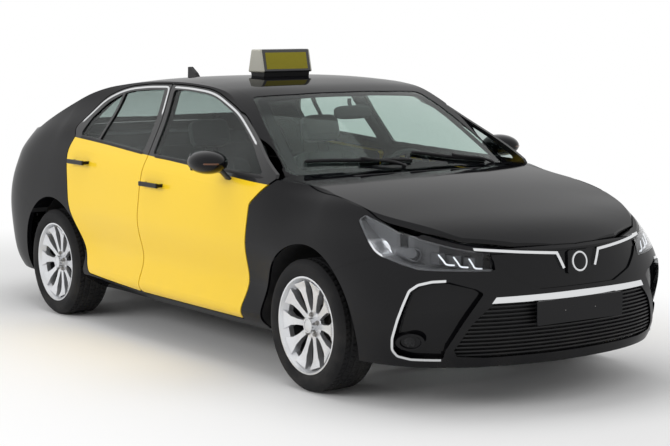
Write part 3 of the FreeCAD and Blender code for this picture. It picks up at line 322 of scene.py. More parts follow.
def wheel_place(finish):
    """Distance from the nearer wheel's axis, and the angle about it."""
    low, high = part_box("tyre_front_right")
    front, height = (low[0] + high[0]) / 2, (low[2] + high[2]) / 2
    low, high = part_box("tyre_rear_right")
    rear = (low[0] + high[0]) / 2
    x, y, z = finish.axes()
    dx = x - ((x > 0.0) * (front - rear) + rear)
    dz = z - height
    return (dx * dx + dz * dz).math("SQRT"), dz.math("ARCTAN2", dx)


# Top of the doors' panels: its height at the middle of the car, and its rise for each metre forward
WAIST_HEIGHT = 1.0075
WAIST_RISE = -0.0566


def paint_finishes():
    """Body paint, and door paint that turns black on the window frames and to trim on the inside."""
    paint = Finish("body_paint", colours().body, 0.5, Coat_Weight=0.45, Coat_Roughness=0.05,
                   Specular_IOR_Level=0.0)
    paint.dust(0.55, 0.05)
    paint.bump(paint.effect("paint_ripple"), 0.25, 0.0006)
    paint = Finish("door_paint", colours().door, 0.45, Coat_Weight=0.5, Coat_Roughness=0.08,
                   Specular_IOR_Level=0.2)
    x, y, z = paint.axes()
    facing = split(paint.tree, paint.tree.nodes.new("ShaderNodeTexCoord").outputs["Normal"])
    inner = facing[1] * y.math("SIGN") < -0.5
    frames = z > x * WAIST_RISE + WAIST_HEIGHT
    paint.dust(0.5, 0.10, frames.math("MAXIMUM", inner).mix(paint.color, (0.010, 0.010, 0.011)))
    paint.bump(paint.effect("paint_ripple"), 0.25, 0.0006)
    gloss = Finish("gloss_black", (0.005, 0.005, 0.006), 0.1, Specular_IOR_Level=0.2)
    gloss.bump(gloss.effect("paint_ripple"), 0.2, 0.0005)


def plain_finishes():
    """Moulded, cast, rolled and bright finishes, each with its own grain or film."""
    rows = (("black_plastic", (0.012, 0.012, 0.013), 0.50, 0.0, 700.0, 0.25, 0.15, 0.5),
            ("cabin_trim", (0.022, 0.022, 0.024), 0.62, 0.0, 520.0, 0.35, 0.0, 0.5),
            ("underbody", (0.020, 0.020, 0.021), 0.60, 0.0, 220.0, 0.25, 0.45, 0.6),
            ("cast_iron", (0.07, 0.066, 0.062), 0.65, 0.7, 420.0, 0.5, 0.5, 0.7),
            ("steel", (0.30, 0.29, 0.28), 0.42, 0.9, 160.0, 0.2, 0.5, 0.6),
            ("cast_aluminium", (0.46, 0.47, 0.48), 0.48, 0.85, 380.0, 0.4, 0.3, 0.9))
    for name, color, rough, metal, scale, depth, thickness, reach in rows:
        finish = Finish(name, color, rough, metal, Specular_IOR_Level=0.25)
        finish.dust(reach, thickness)
        finish.set(Roughness=finish.noise(14.0, 4.0) * 0.22 + (rough - 0.11))
        finish.bump(finish.effect("moulded_grain", Scale=scale), depth, 0.0004)
    for name, color, rough in (("chrome", (0.70, 0.71, 0.72), 0.09),
                               ("mirror_glass", (0.62, 0.65, 0.67), 0.02)):
        finish = Finish(name, color, rough, 1.0)
        finish.set(Roughness=finish.noise(30.0, 3.0) * 0.05 + (rough - 0.02))


def wheel_finishes():
    """Bright turned alloy with a dark disc behind it and painted shade on the barrel behind its face, and
    rubber with ribs on its side wall.
    """
    alloy = Finish("alloy", colours().alloy, 0.3, 0.82)
    radius, turn = wheel_place(alloy)
    hub_face, disc_edge = 0.806, 0.1415
    inside = abs(alloy.axes()[1]) < hub_face
    # Painted shade: alloy behind the face plane and outside the disc is darkened for the shade in the wheel's
    # hollow; the disc inside is its own darker steel
    color = (inside * (radius > disc_edge)).mix(alloy.color, (0.10, 0.10, 0.105))
    color = (inside * (radius < disc_edge)).mix(color, (0.075, 0.07, 0.066))
    alloy.dust(0.9, 0.25, color)
    rings = radius.wave(5200.0)
    alloy.set(Roughness=rings * 0.04 + 0.30)
    alloy.bump(rings, 0.05, 0.0002)
    rubber = Finish("tyre_rubber", (0.013, 0.013, 0.014), 0.78, Specular_IOR_Level=0.2)
    radius, turn = wheel_place(rubber)
    rubber.dust(0.8, 0.35, Dust=(0.07, 0.066, 0.06, 1.0))
    ribs = turn.wave(420.0) * radius.band(0.262, 0.296, 0.004)
    height = ribs * 0.5 + radius.wave(900.0) * 0.3
    rubber.bump(rubber.effect("moulded_grain", Scale=900.0) * 0.3 + height, 0.45, 0.0009)


def cloth_finish():
    """Woven seat cloth with a soft sheen, darker where its threads sink as painted shade."""
    cloth = Finish("seat_cloth", colours().cloth, 0.88, Sheen_Weight=0.25, Sheen_Roughness=0.5)
    dark, pale = (tuple(share * c for c in cloth.color) for share in (0.55, 1.3))
    # Colour from the weave's Shade output: painted shade in the weave over a random tone
    cloth.set(Base_Color=cloth.effect("woven_cloth", "Shade", Scale=1500.0).mix(dark, pale))
    cloth.bump(cloth.effect("woven_cloth", Scale=1500.0), 0.5, 0.0006)


def lamp_finishes():
    """Lamp bowls that are dark outside their bright reflectors, red lamps and light guides."""
    bowl = Finish("lamp_bowl", (0.03, 0.03, 0.033), 0.2, Specular_IOR_Level=0.25)
    x, y, z = bowl.axes()
    silver = (0.5, 0.51, 0.53)
    outer_end, behind = x + abs(y) * 1.2 > 2.76, x < 1.90
    color = (outer_end * 0.15).mix((0.012, 0.012, 0.014), silver)
    color = (behind * 0.16).mix(color, silver)
    slant = (z - 0.70) * 1.2 + x
    reflector = slant.band(1.835, 1.885, 0.005) * z.ramp(0.745, 0.765, 1.0, 0.0)
    bowl.set(Metallic=reflector, Base_Color=reflector.mix(color, (0.82, 0.83, 0.85)))
    bowl.bump(x.wave(900.0), 0.25, 0.0008)
    guide = Finish("light_guide", (0.86, 0.88, 0.92), 0.25, Emission_Strength=0.25,
                   Emission_Color=(0.9, 0.95, 1.0))
    guide.bump(guide.axes()[1].wave(1200.0), 0.3, 0.0006)
    red = Finish("tail_red", (0.22, 0.003, 0.005), 0.06, Coat_Weight=1.0, Coat_Roughness=0.02)
    z = red.axes()[2]
    red.set(Base_Color=z.band(0.884, 0.912, 0.004).mix((0.20, 0.003, 0.005), (0.62, 0.03, 0.03)))
    red.bump(z.wave(1800.0), 0.12, 0.0006)
    amber = Finish("amber", (0.10, 0.03, 0.006), 0.15, Coat_Weight=0.3)
    amber.bump(amber.axes()[2].wave(1600.0), 0.2, 0.0006)


# Length of the roof sign's pale ends
SIGN_END = 0.011


def sign_finishes():
    """Moulded sign shell, pale at its ends and black between them, and its blank coloured panels."""
    shell = Finish("sign_shell", colours().sign, 0.33, Coat_Weight=0.4)
    low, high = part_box("roof_sign")
    middle = abs(shell.axes()[1]) < high[1] - SIGN_END
    shell.set(Base_Color=middle.mix(shell.color, (0.012, 0.012, 0.013)))
    shell.bump(shell.effect("moulded_grain", Scale=500.0), 0.08, 0.0004)
    panel = Finish("sign_panel", colours().panel, 0.4, Specular_IOR_Level=0.2)
    dark = tuple(0.85 * c for c in panel.color)
    panel.set(Base_Color=panel.noise(18.0, 3.0).mix(dark, panel.color))


def dress(finish, *names):
    """Gives a finish to CAD nodes."""
    for name in names:
        NODES[name].data.materials.clear()
        NODES[name].data.materials.append(MATERIALS[finish])


def for_sides(*stems):
    return [stem + side for stem in stems for side, sign in SIDES]


def for_corners(*stems):
    return ["%s_%s_%s" % (stem, end, side) for stem in stems for end, side, sign in CORNERS]


class TAXI_OT_finishes(Operator):
    """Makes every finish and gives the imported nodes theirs"""
    bl_idname = "taxi.finishes"
    bl_label = "Finishes"

    def execute(self, context):
        for make in (grain_effect, film_effect, ripple_effect, weave_effect, paint_finishes, plain_finishes,
                     wheel_finishes, cloth_finish, lamp_finishes, sign_finishes):
            make()
        glass_finish("window_glass", colours().glass)
        glass_finish("screen_glass", colours().screen)
        glass_finish("lamp_lens", (0.93, 0.94, 0.95))
        dress("body_paint", "roof_panel", "bonnet", "boot_lid", "front_bumper", "rear_bumper",
              *for_sides("body_side_", "fender_"))
        dress("door_paint", *for_corners("door"))
        dress("window_glass", "rear_window", *for_corners("glass"))
        dress("screen_glass", "windscreen")
        dress("lamp_lens", "headlamp_lenses")
        dress("lamp_bowl", "headlamps")
        dress("tail_red", "tail_lamps")
        dress("chrome", "front_chrome")
        dress("alloy", *for_corners("alloy_wheel"))
        dress("tyre_rubber", *for_corners("tyre"))
        dress("gloss_black", "aerial_fin", "badge_panel", "fog_lamps", "plate_holder", *for_sides("mirror_"),
              *for_corners("handle"))
        dress("black_plastic", "lower_grille", "cowl", "sign_foot")
        dress("underbody", "floor_pan", "front_structure")
        dress("cast_iron", "front_subframe", "rear_axle", *for_sides("knuckle_"))
        dress("steel", "exhaust")
        dress("cast_aluminium", "engine_block")
        dress("cabin_trim", "dashboard", "steering_wheel", "steering_column", "rear_shelf")
        dress("seat_cloth", "front_seats", "rear_bench")
        dress("sign_shell", "roof_sign")
        return {"FINISHED"}


# Surfaces on grids
class Form:
    """Collects grid surfaces of points and turns them into one piece."""

    def __init__(self):
        self.points = []
        self.faces = []
        self.count = 0

    def add(self, grid, wrap_rows=False, wrap_columns=False, caps=False):
        """Grid of points, rows by columns, joined by quads; caps close the first and last row."""
        rows, columns = grid.shape[:2]
        index = np.arange(rows * columns).reshape(rows, columns) + self.count
        if caps:
            self.faces += [index[0][::-1].tolist(), index[-1].tolist()]
        if wrap_rows:
            index = np.vstack((index, index[:1]))
        if wrap_columns:
            index = np.hstack((index, index[:, :1]))
        quads = np.stack((index[:-1, :-1], index[1:, :-1], index[1:, 1:], index[:-1, 1:]), -1)
        self.faces += quads.reshape(-1, 4).tolist()
        self.points.append(grid.reshape(-1, 3))
        self.count += rows * columns
        return self

    def turn(self, *values):
        """Adds a turned profile."""
        return self.add(turned(*values), wrap_columns=True)

    def carry(self, *values):
        """Adds a bar carried along a path."""
        return self.add(carried(*values), wrap_columns=True, caps=True)

    def piece(self, name, finish, body, slot, angle=32.0):
        """Welds the grids, turns every face outwards and rides the piece on its body."""
        mesh = bpy.data.meshes.new(name)
        mesh.from_pydata(np.vstack(self.points).tolist(), [], self.faces)
        work = bmesh.new()
        work.from_mesh(mesh)
        bmesh.ops.remove_doubles(work, verts=work.verts, dist=1e-6)
        bmesh.ops.dissolve_degenerate(work, edges=work.edges, dist=1e-7)
        bmesh.ops.recalc_face_normals(work, faces=work.faces)
        work.to_mesh(mesh)
        work.free()
        mesh.shade_smooth()
        mesh.set_sharp_from_angle(angle=math.radians(angle))
        mesh.materials.append(MATERIALS[finish])
        thing = bpy.data.objects.new(name, mesh)
        bpy.context.scene.collection.objects.link(thing)
        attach(thing, body)
        return thing


def turned(profile, centre, axis, count=48, swell=None):
    """Profile of (radius, height) pairs turned about an axis through centre: each point is centre plus height
    along the axis plus radius towards the turning angle. swell(angle) scales the radius."""
    profile = np.array(profile, float)
    axis = np.array(axis, float) / np.linalg.norm(axis)
    side = np.cross(axis, (0.0, 0.0, 1.0) if abs(axis[2]) < 0.9 else (1.0, 0.0, 0.0))
    side /= np.linalg.norm(side)
    other = np.cross(axis, side)
    angle = np.linspace(0, 2 * np.pi, count, endpoint=False)
    scale = np.ones(count) if swell is None else swell(angle)
    spoke = (np.cos(angle)[:, None] * side + np.sin(angle)[:, None] * other) * scale[:, None]
    return np.array(centre) + profile[:, None, :1] * spoke[None] + profile[:, None, 1:] * axis


def hexagon(angle):
    """Radius of a hexagon whose flats lie at radius one: one over the cosine of the angle from a flat."""
    return 1.0 / np.cos((angle + np.pi / 6) % (np.pi / 3) - np.pi / 6)


def lengths(points):
    """Distance of each point from the first one, along the line."""
    return np.concatenate(((0.0,), np.cumsum(np.linalg.norm(np.diff(points, axis=0), axis=1))))


def unit(vectors):
    return vectors / np.linalg.norm(vectors, axis=1)[:, None]


def carried(path, normals, section, ends=0.0):
    """Section of (across, up) pairs carried along a path that lies on a surface: up follows the surface's
    normal and across the cross product of normal and path. The section shrinks to nothing over the first and
    last stretch, ends metres long, along a quarter circle."""
    path, normals, section = np.array(path), np.array(normals), np.array(section, float)
    across = unit(np.cross(normals, unit(np.gradient(path, axis=0))))
    reach = lengths(path)
    left = np.minimum(reach, reach[-1] - reach)
    scale = np.ones(len(path)) if ends == 0.0 else np.sqrt(1 - np.clip(1 - left / ends, 0, 1) ** 2)
    scale = np.maximum(scale, 0.02)
    return path[:, None] + scale[:, None, None] * (section[None, :, :1] * across[:, None]
                                                   + section[None, :, 1:] * normals[:, None])


def line_of(points, count):
    """Evenly spaced points along straight runs."""
    points = np.array(points, float)
    reach = lengths(points)
    steps = np.linspace(0, reach[-1], count)
    return np.stack([np.interp(steps, reach, points[:, k]) for k in range(points.shape[1])], -1)


def spread(points, count):
    """Points evenly spaced along a smooth line through the given ones: a Catmull-Rom spline, resampled."""
    points = np.array(points, float)
    padded = np.vstack((2 * points[0] - points[1], points, 2 * points[-1] - points[-2]))
    t = np.linspace(0, 1, 24, endpoint=False)[:, None]
    spans = []
    for a, b, c, d in zip(padded[:-3], padded[1:-2], padded[2:-1], padded[3:]):
        spans.append(0.5 * (2 * b + (c - a) * t + (2 * a - 5 * b + 4 * c - d) * t ** 2
                            + (3 * b - a - 3 * c + d) * t ** 3))
    return line_of(np.vstack(spans + [points[-1:]]), count)


def points_of(name):
    """Points of a node in its own coordinates."""
    mesh = NODES[name].data
    points = np.empty(len(mesh.vertices) * 3)
    mesh.vertices.foreach_get("co", points)
    return points.reshape(-1, 3)


# Places clear of the cab, from which fittings are cast onto it: along x and along y
AHEAD = 3.0
BESIDE = 1.2


class Skin:
    """Outer faces of a node, for fittings that lie on them."""

    def __init__(self, name):
        faces = [tuple(face.vertices) for face in NODES[name].data.polygons]
        self.tree = BVHTree.FromPolygons(points_of(name).tolist(), faces)

    def cast(self, starts, direction):
        """First point and outward normal that a ray from each start meets."""
        direction = Vector(direction).normalized()
        points, normals = [], []
        for start in starts:
            place, normal, face, distance = self.tree.ray_cast(Vector(start), direction)
            if place is None:
                raise RuntimeError("no panel under a fitting at %s" % (tuple(start),))
            points.append(place)
            normals.append(normal if normal.dot(direction) < 0 else -normal)
        return np.array(points), np.array(normals)

    def along(self, line, axis, start, sign):
        """Casts a flat line, whose points leave out one axis, onto the skin from a height on that axis."""
        direction = np.insert(np.zeros(2), axis, sign)
        return self.cast(np.insert(line, axis, start, axis=1), direction)

    def over(self, ys, zs, start, sign):
        """Casts a grid of y and z onto the skin along x: points and normals as grids."""
        grid = np.stack(np.meshgrid(ys, zs, indexing="ij"), -1).reshape(-1, 2)
        return [found.reshape(len(ys), len(zs), 3) for found in self.along(grid, 0, start, sign)]


def soften(values, rounds=3):
    """Running mean over each three neighbours, with the ends kept."""
    values = np.array(values, float)
    for _ in range(rounds):
        values[1:-1] = (values[:-2] + 2 * values[1:-1] + values[2:]) / 4
    return values


def rounded(width, height, low=0.0, count=5):
    """Closed section of a low rounded bar: flat at low, with quarter-circle shoulders up to height."""
    angle = np.linspace(0, np.pi / 2, count)
    bend = min(height - low, width / 2)
    right = np.stack((width / 2 - bend + bend * np.cos(angle), height - bend + bend * np.sin(angle)), -1)
    left = right[::-1] * (-1, 1)
    return np.vstack(((width / 2, low), right, left, (-width / 2, low)))


def upper_edge(name, low):
    """Upper outline of a node seen from the side: the upper hull of its points above a height."""
    points = points_of(name)[:, (0, 2)]
    points = np.unique(np.round(points[points[:, 1] > low], 4), axis=0)
    hull = []
    for point in points:
        while len(hull) > 1 and np.cross(hull[-1] - hull[-2], point - hull[-2]) >= 0:
            hull.pop()
        hull.append(point)
    return np.array(hull)


# Ends of the window sills as x and z, and a height that only the window frames rise above
SILLS = {"front": ((0.945, 0.982), (-0.170, 1.020)), "rear": ((-0.282, 1.027), (-1.085, 1.078))}
FRAMES_FROM = 1.03


class TAXI_OT_window_trim(Operator):
    """Bright strips over the side windows and dark seals under them"""
    bl_idname = "taxi.window_trim"
    bl_label = "Window trim"
    inset: length("Inset", "Distance of the strip's middle from the door's edge", 0.012)

    def execute(self, context):
        section = rounded(sizes().strip_width, sizes().strip_proud, -0.001)
        seal = rounded(0.016, 0.0035, -0.001)
        for end, side, sign in CORNERS:
            spot = "%s_%s" % (end, side)
            door = "door_" + spot
            skin = Skin(door)
            edge = line_of(upper_edge(door, FRAMES_FROM)[1:-1], 70)
            along = unit(np.gradient(edge, axis=0))
            line = soften(edge + self.inset * np.stack((along[:, 1], -along[:, 0]), -1), 6)[2:-2]
            path, normals = skin.along(line, 1, BESIDE * sign, -sign)
            strip = Form().carry(soften(path, 2), soften(normals, 6), section, 0.012)
            strip.piece("window_strip_" + spot, "chrome", door, "chrome")
            path, normals = skin.along(line_of(SILLS[end], 40), 1, BESIDE * sign, -sign)
            strip = Form().carry(path, soften(normals, 8), seal, 0.006)
            strip.piece("window_seal_" + spot, "black_plastic", door, "black_plastic")
        return {"FINISHED"}


# Profile of half a tyre in millimetres: radius and distance from its middle, where it is widest at 113
TYRE_SIDE = ((225.4, 91.5), (225.8, 96.0), (234.0, 99.5), (238.0, 104.5), (246.0, 108.0), (258.0, 111.0),
             (270.0, 112.6), (280.0, 112.4), (288.0, 110.4), (294.5, 107.6), (301.0, 102.5), (308.0, 95.0),
             (313.5, 87.5))
TYRE_HALF_WIDTH = 0.113
GROOVES = (-0.056, -0.020, 0.020, 0.056)


def tyre_grid(centre, half_width, radius, depth, pitches):
    """Tyre: its side-wall profile is turned about the axle. Over the tread the radius drops into four round
    grooves with sloping walls, and into slanted cross cuts that repeat with the turning angle."""
    side = np.array(TYRE_SIDE) / 1000.0
    crown = np.linspace(0.084, -0.084, 57)
    top = radius - 0.0006 - 0.12 * crown ** 2 * 4.0
    profile = np.vstack((side, np.stack((top, crown), -1), side[::-1] * (1, -1)))
    profile[:, 1] *= half_width / TYRE_HALF_WIDTH
    across = profile[:, 1:]
    out = np.abs(across)
    turn = np.linspace(0, 2 * np.pi, pitches * 6, endpoint=False)
    block = turn[None] * pitches / (2 * np.pi)
    cut = np.zeros_like(across)
    for groove in GROOVES:
        cut = np.maximum(cut, np.clip(1.6 - np.abs(across - groove) / 0.0045, 0, 1))
    slant = out * 14.0
    sipe = ((block + slant) % 1.0 < 0.34) * (out > 0.060)
    inner = ((block - slant * 0.6) % 1.0 < 0.17) * (out < 0.056)
    drop = depth * (out < 0.085) * np.maximum(cut, np.maximum(0.75 * sipe, 0.5 * inner))
    reach = profile[:, :1] - drop
    return np.stack((centre[0] + reach * np.cos(turn), centre[1] + across + 0 * turn,
                     centre[2] + reach * np.sin(turn)), -1)


class TAXI_OT_wheels(Operator):
    """Treaded tyres, wheel bolts and plain hub caps"""
    bl_idname = "taxi.wheels"
    bl_label = "Wheels"
    cap_radius: length("Hub cap", "Radius of the plain hub cap", 0.0275)

    def execute(self, context):
        size = sizes()
        flat = size.bolt_across / 2
        head = ((0.0, 0.0), (flat, 0.0), (flat, 0.008), (flat * 0.85, 0.0105), (0.0, 0.0115))
        seat = ((0.0, -0.004), (flat * 1.5, -0.004), (flat * 1.5, 0.002), (flat * 1.25, 0.0035),
                (0.0, 0.0036))
        r = self.cap_radius
        cap = ((0.0, -0.003), (r, -0.003), (r, 0.0015), (r - 0.0015, 0.003), (r - 0.004, 0.003),
               (r - 0.005, 0.0018), (r * 0.5, 0.0032), (0.0, 0.0038))
        for end, side, sign in CORNERS:
            spot = "%s_%s" % (end, side)
            wheel, outward = "wheel_" + spot, (0, sign, 0)
            low, high = (np.array(corner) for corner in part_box("tyre_" + spot))
            centre, half = (low + high) / 2, (high - low) / 2
            grid = tyre_grid(centre, half[1], half[2], size.tread_depth, size.tread_pitches)
            tyre = Form().add(grid, wrap_rows=True, wrap_columns=True)
            tyre = tyre.piece("tyre_tread_" + spot, "tyre_rubber", wheel, "tyre", 28.0)
            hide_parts("tyre_" + spot)
            skin = Skin("alloy_wheel_" + spot)
            bolts = Form()
            for k in range(size.bolt_count):
                angle = 2 * math.pi * k / size.bolt_count + math.pi / 2
                start = centre + np.array((size.bolt_circle * math.cos(angle), sign * 0.3,
                                           size.bolt_circle * math.sin(angle)))
                place, normal = skin.cast([start], (0, -sign, 0))
                bolts.turn(head, place[0] + (0, sign * 0.002, 0), outward, 24, hexagon)
                bolts.turn(seat, place[0], outward, 24)
            bolts.piece("wheel_bolts_" + spot, "steel", wheel, "steel")
            place, normal = skin.cast([centre + (0, sign * 0.3, 0)], (0, -sign, 0))
            Form().turn(cap, place[0], outward, 64).piece("hub_cap_" + spot, "alloy", wheel, "alloy")
        return {"FINISHED"}


# Distance of the plate holder's holes from the middle, and of the fog lamps' from their outer ends
PLATE_HOLE_Y = 0.09
FOG_INSET = 0.040
# Headlamps' light guides: where each stands, as y and z, the stroke of one, and its depth under the lens
GUIDES = ((0.610, 0.690), (0.560, 0.680), (0.505, 0.672))
GUIDE_STROKE = ((0.022, 0.026), (0.012, -0.002), (0.006, -0.017), (-0.024, -0.021))
GUIDE_DEPTH = 0.009


class TAXI_OT_front_details(Operator):
    """Plain round badge, plate screws, light guides and fog lamp glasses of the nose"""
    bl_idname = "taxi.front_details"
    bl_label = "Front details"

    def execute(self, context):
        self.badge()
        self.plate_screws()
        self.light_guides()
        self.fog_glasses()
        return {"FINISHED"}

    def badge(self):
        """Plain disc in a bright ring, on the panel over the grille."""
        low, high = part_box("badge_panel")
        place, normal = Skin("badge_panel").cast([(AHEAD, 0.0, (low[2] + high[2]) / 2)], (-1, 0, 0))
        r = sizes().badge_radius
        ring = ((r - 0.010, -0.001), (r - 0.009, 0.0022), (r - 0.005, 0.0036), (r - 0.001, 0.0022),
                (r, -0.001))
        band = Form().add(turned(ring, place[0], normal[0], 96), wrap_rows=True, wrap_columns=True)
        band.piece("front_badge_ring", "chrome", "shell", "chrome")
        disc = ((0.0, 0.0022), (r - 0.020, 0.0018), (r - 0.0102, 0.0004), (r - 0.0102, -0.001),
                (0.0, -0.001))
        disc = Form().turn(disc, place[0], normal[0], 64)
        disc.piece("front_badge_disc", "gloss_black", "shell", "gloss_black")

    def plate_screws(self):
        """Two screws in the holes of the blank plate holder, their heads level with its face."""
        low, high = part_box("plate_holder")
        head = ((0.0, -0.006), (0.0028, -0.006), (0.0028, -0.0008), (0.0021, 0.0), (0.0, 0.0))
        screws = Form()
        for y in (-PLATE_HOLE_Y, PLATE_HOLE_Y):
            screws.turn(head, (high[0], y, (low[2] + high[2]) / 2), (1, 0, 0), 32)
        screws.piece("front_plate_screws", "steel", "shell", "steel")

    def light_guides(self):
        """Three bright L-shaped light guides in each headlamp, carried along under the lens's face."""
        skin = Skin("headlamp_lenses")
        for side, sign in SIDES:
            form = Form()
            for corner in GUIDES:
                stroke = spread(np.array(GUIDE_STROKE) + corner, 28)
                place, normals = skin.along(stroke * (sign, 1), 0, AHEAD, -1)
                normals = soften(normals, 6)
                path = soften(place - normals * GUIDE_DEPTH, 3)
                form.carry(path, normals, rounded(0.008, 0.003, -0.0015), 0.002)
            form.piece("light_guides_" + side, "light_guide", "shell", "lamp_clear")

    def fog_glasses(self):
        """Slightly crowned round glass in each fog lamp."""
        low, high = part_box("fog_lamps")
        glass = ((0.0, 0.004), (0.012, 0.0035), (0.022, 0.0015), (0.026, -0.001), (0.0, -0.001))
        skin = Skin("fog_lamps")
        for side, sign in SIDES:
            start = (AHEAD, sign * (high[1] - FOG_INSET), (low[2] + high[2]) / 2)
            place, normal = skin.cast([start], (-1, 0, 0))
            form = Form().turn(glass, place[0], normal[0], 48)
            form.piece("fog_glass_" + side, "lamp_lens", "shell", "lamp_clear")


# Each wiper: inner and outer end of its blade and its pivot, as x and y
WIPERS = {"wiper_right": ((1.035, 0.02), (0.925, -0.575), (1.070, -0.06)),
          "wiper_left": ((1.012, 0.52), (0.975, 0.05), (1.018, 0.56))}
# Half of the windscreen's outline, as x and y, from the bottom's middle to the top's
SCREEN_OUTLINE = ((1.062, 0.0), (1.044, 0.35), (1.000, 0.585), (0.944, 0.642), (0.620, 0.566), (0.436, 0.505),
                  (0.452, 0.28), (0.462, 0.0))


class TAXI_OT_glass_fittings(Operator):
    """Wipers, dark glass borders and the mirror inside the windscreen"""
    bl_idname = "taxi.glass_fittings"
    bl_label = "Glass fittings"

    def execute(self, context):
        skin = Skin("windscreen")
        self.wipers(skin)
        self.inner_mirror(skin)
        self.border(skin)
        return {"FINISHED"}

    def wipers(self, skin):
        """Each blade is a slim bar carried along the glass. Its arm bends down to a pivot in the cowl."""
        for name, (inner, outer, pivot) in WIPERS.items():
            middle = ((inner[0] + outer[0]) / 2 + 0.018, (inner[1] + outer[1]) / 2)
            path, normals = skin.along(spread((inner, middle, outer), 60), 2, 1.8, -1)
            path, normals = soften(path, 6), soften(normals, 12)
            form = Form().carry(path, normals, rounded(0.006, 0.012, 0.0008), 0.01)
            form.carry(path + normals * 0.011, normals, rounded(0.016, 0.009, 0.0), 0.02)
            knee = path[30] + normals[30] * (sizes().wiper_height + 0.004)
            (base,), (flat,) = skin.cast([(*pivot, 1.8)], (0, 0, -1))
            over = base + flat * 0.012
            arm = spread((over, over * 0.7 + knee * 0.3 + flat * 0.008, over * 0.25 + knee * 0.75, knee), 40)
            form.carry(arm, np.tile(normals[30], (40, 1)), rounded(0.016, 0.008, -0.004), 0.01)
            hub = ((0.0, 0.0005), (0.011, 0.0005), (0.011, 0.014), (0.008, 0.018), (0.0, 0.019))
            form.turn(hub, base, flat, 32).piece(name, "black_plastic", "shell", "black_plastic")

    def inner_mirror(self, skin):
        """Rounded mirror housing on a short stalk under the top of the windscreen."""
        (top,), normal = skin.cast([(0.50, 0.0, 0.9)], (0, 0, 1))
        centre = top + (0.035, 0.0, -0.075)
        form = Form().add(pebble(centre, (0.016, 0.118, 0.036), 3.5), wrap_columns=True)
        stalk = spread((top + (0.01, 0, -0.004), top + (0.012, 0, -0.03), centre + (0.004, 0, 0.012)), 14)
        form.carry(stalk, np.tile((1.0, 0.0, 0.0), (14, 1)), rounded(0.02, 0.008, -0.008))
        form.piece("inner_mirror", "cabin_trim", "shell", "trim")

    def border(self, skin):
        """Dark border printed round the windscreen's inner face: a band carried along its outline."""
        band = rounded(0.052, 0.0008, -0.0006)
        half = np.array(SCREEN_OUTLINE)
        outline = np.vstack((half, half[-2::-1] * (1, -1)))
        path, normals = skin.along(line_of(outline, 220), 2, 0.7, 1)
        form = Form().carry(soften(path, 2), soften(normals, 4), band)
        form.piece("screen_border", "gloss_black", "shell", "gloss_black")


def pebble(centre, half, power):
    """Closed rounded block: points on a sphere are moved out to the surface where the powers of the three
    scaled coordinates add up to one."""
    rise = np.linspace(-np.pi / 2, np.pi / 2, 40)[:, None]
    turn = np.linspace(0, 2 * np.pi, 72, endpoint=False)[None]
    ball = np.stack((np.cos(rise) * np.cos(turn), np.cos(rise) * np.sin(turn), np.sin(rise) + 0 * turn), -1)
    reach = (np.abs(ball) ** power).sum(-1, keepdims=True) ** (-1.0 / power)
    return np.array(centre) + ball * reach * np.array(half)


def plate_grid(middle, half_y, half_z, back, front):
    """Flat plate with round corners: rings of a rounded rectangle, closed to a point front and back."""
    angle = np.linspace(0, 2 * np.pi, 96, endpoint=False)
    power = 0.16
    outline = np.stack((np.sign(np.cos(angle)) * np.abs(np.cos(angle)) ** power * half_y,
                        np.sign(np.sin(angle)) * np.abs(np.sin(angle)) ** power * half_z), -1)
    outline = np.vstack((outline, outline[:1]))
    rim = (front - back) * 0.4
    rings = ((back, 0.0), (back, 1.0), (front - rim, 1.0), (front, 0.985), (front, 0.0))
    return np.stack([np.insert(middle + outline * scale, 0, x, axis=1) for x, scale in rings])


class TAXI_OT_door_mirrors(Operator):
    """Mirror glasses and amber repeaters on the door mirrors"""
    bl_idname = "taxi.door_mirrors"
    bl_label = "Door mirrors"

    def execute(self, context):
        for side, sign in SIDES:
            low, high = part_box("mirror_" + side)
            body = "door_front_" + side
            y, z = (low[1] + high[1]) / 2 + sign * 0.012, (low[2] + high[2]) / 2 + 0.016
            glass = Form().add(plate_grid((y, z), 0.068, 0.043, low[0] + 0.008, low[0] + 0.005))
            glass.piece("mirror_glass_" + side, "mirror_glass", body, "chrome")
            outer = high[1] if sign > 0 else low[1]
            y = np.linspace(outer - sign * 0.020, outer - sign * 0.085, 24)
            line = np.stack((y, np.full(24, z - 0.002)), -1)
            path, normals = Skin("mirror_" + side).along(line, 0, 1.2, -1)
            strip = Form().carry(path, soften(normals), rounded(0.009, 0.0022, -0.001), 0.006)
            strip.piece("mirror_repeater_" + side, "amber", body, "lamp_red")
        return {"FINISHED"}


def padded(half, power, pinch, seams, depth, bolster=0.0, count=44):
    """Stuffed block: a cube's six faces are drawn in to the surface where the powers of the coordinates add
    up to one. Its sides pull in at half height along a parabola, the top falls into sewn channels, each a
    narrow bell across x or y, and rises towards both y ends into bolsters."""
    s = np.linspace(-1, 1, count)
    u, v = np.meshgrid(s, s, indexing="ij")
    one = np.ones_like(u)
    grids = []
    for sheet in ((u, v, one), (v, u, -one), (one, u, v), (-one, v, u), (v, one, u), (u, -one, v)):
        p = np.stack(sheet, -1)
        p = p / (np.abs(p) ** power).sum(-1, keepdims=True) ** (1.0 / power)
        x, y, z = p[..., 0], p[..., 1], p[..., 2]
        tuck = 1 - pinch * (1 - z ** 2)
        top = np.clip(z, 0, 1) ** 3
        dip = np.zeros_like(x)
        for axis, at, width in seams:
            value = x if axis == "x" else y
            dip = np.maximum(dip, np.exp(-((value - at) / width) ** 2))
        crown = 0.10 * (1 - x ** 2) * (1 - y ** 2)
        lift = bolster * np.clip((np.abs(y) - 0.55) / 0.35, 0, 1) ** 2
        height = z * half[2] + top * ((crown - 0.10) * half[2] + lift - bolster - depth * dip)
        grids.append(np.stack((x * half[0] * tuck, y * half[1] * tuck, height), -1))
    return grids


def moved(grid, centre, lean=0.0):
    """Grid leaned about the Y axis and carried to its place."""
    c, s = math.cos(lean), math.sin(lean)
    turn = np.array(((c, 0, s), (0, 1, 0), (-s, 0, c)))
    return grid @ turn.T + np.array(centre)


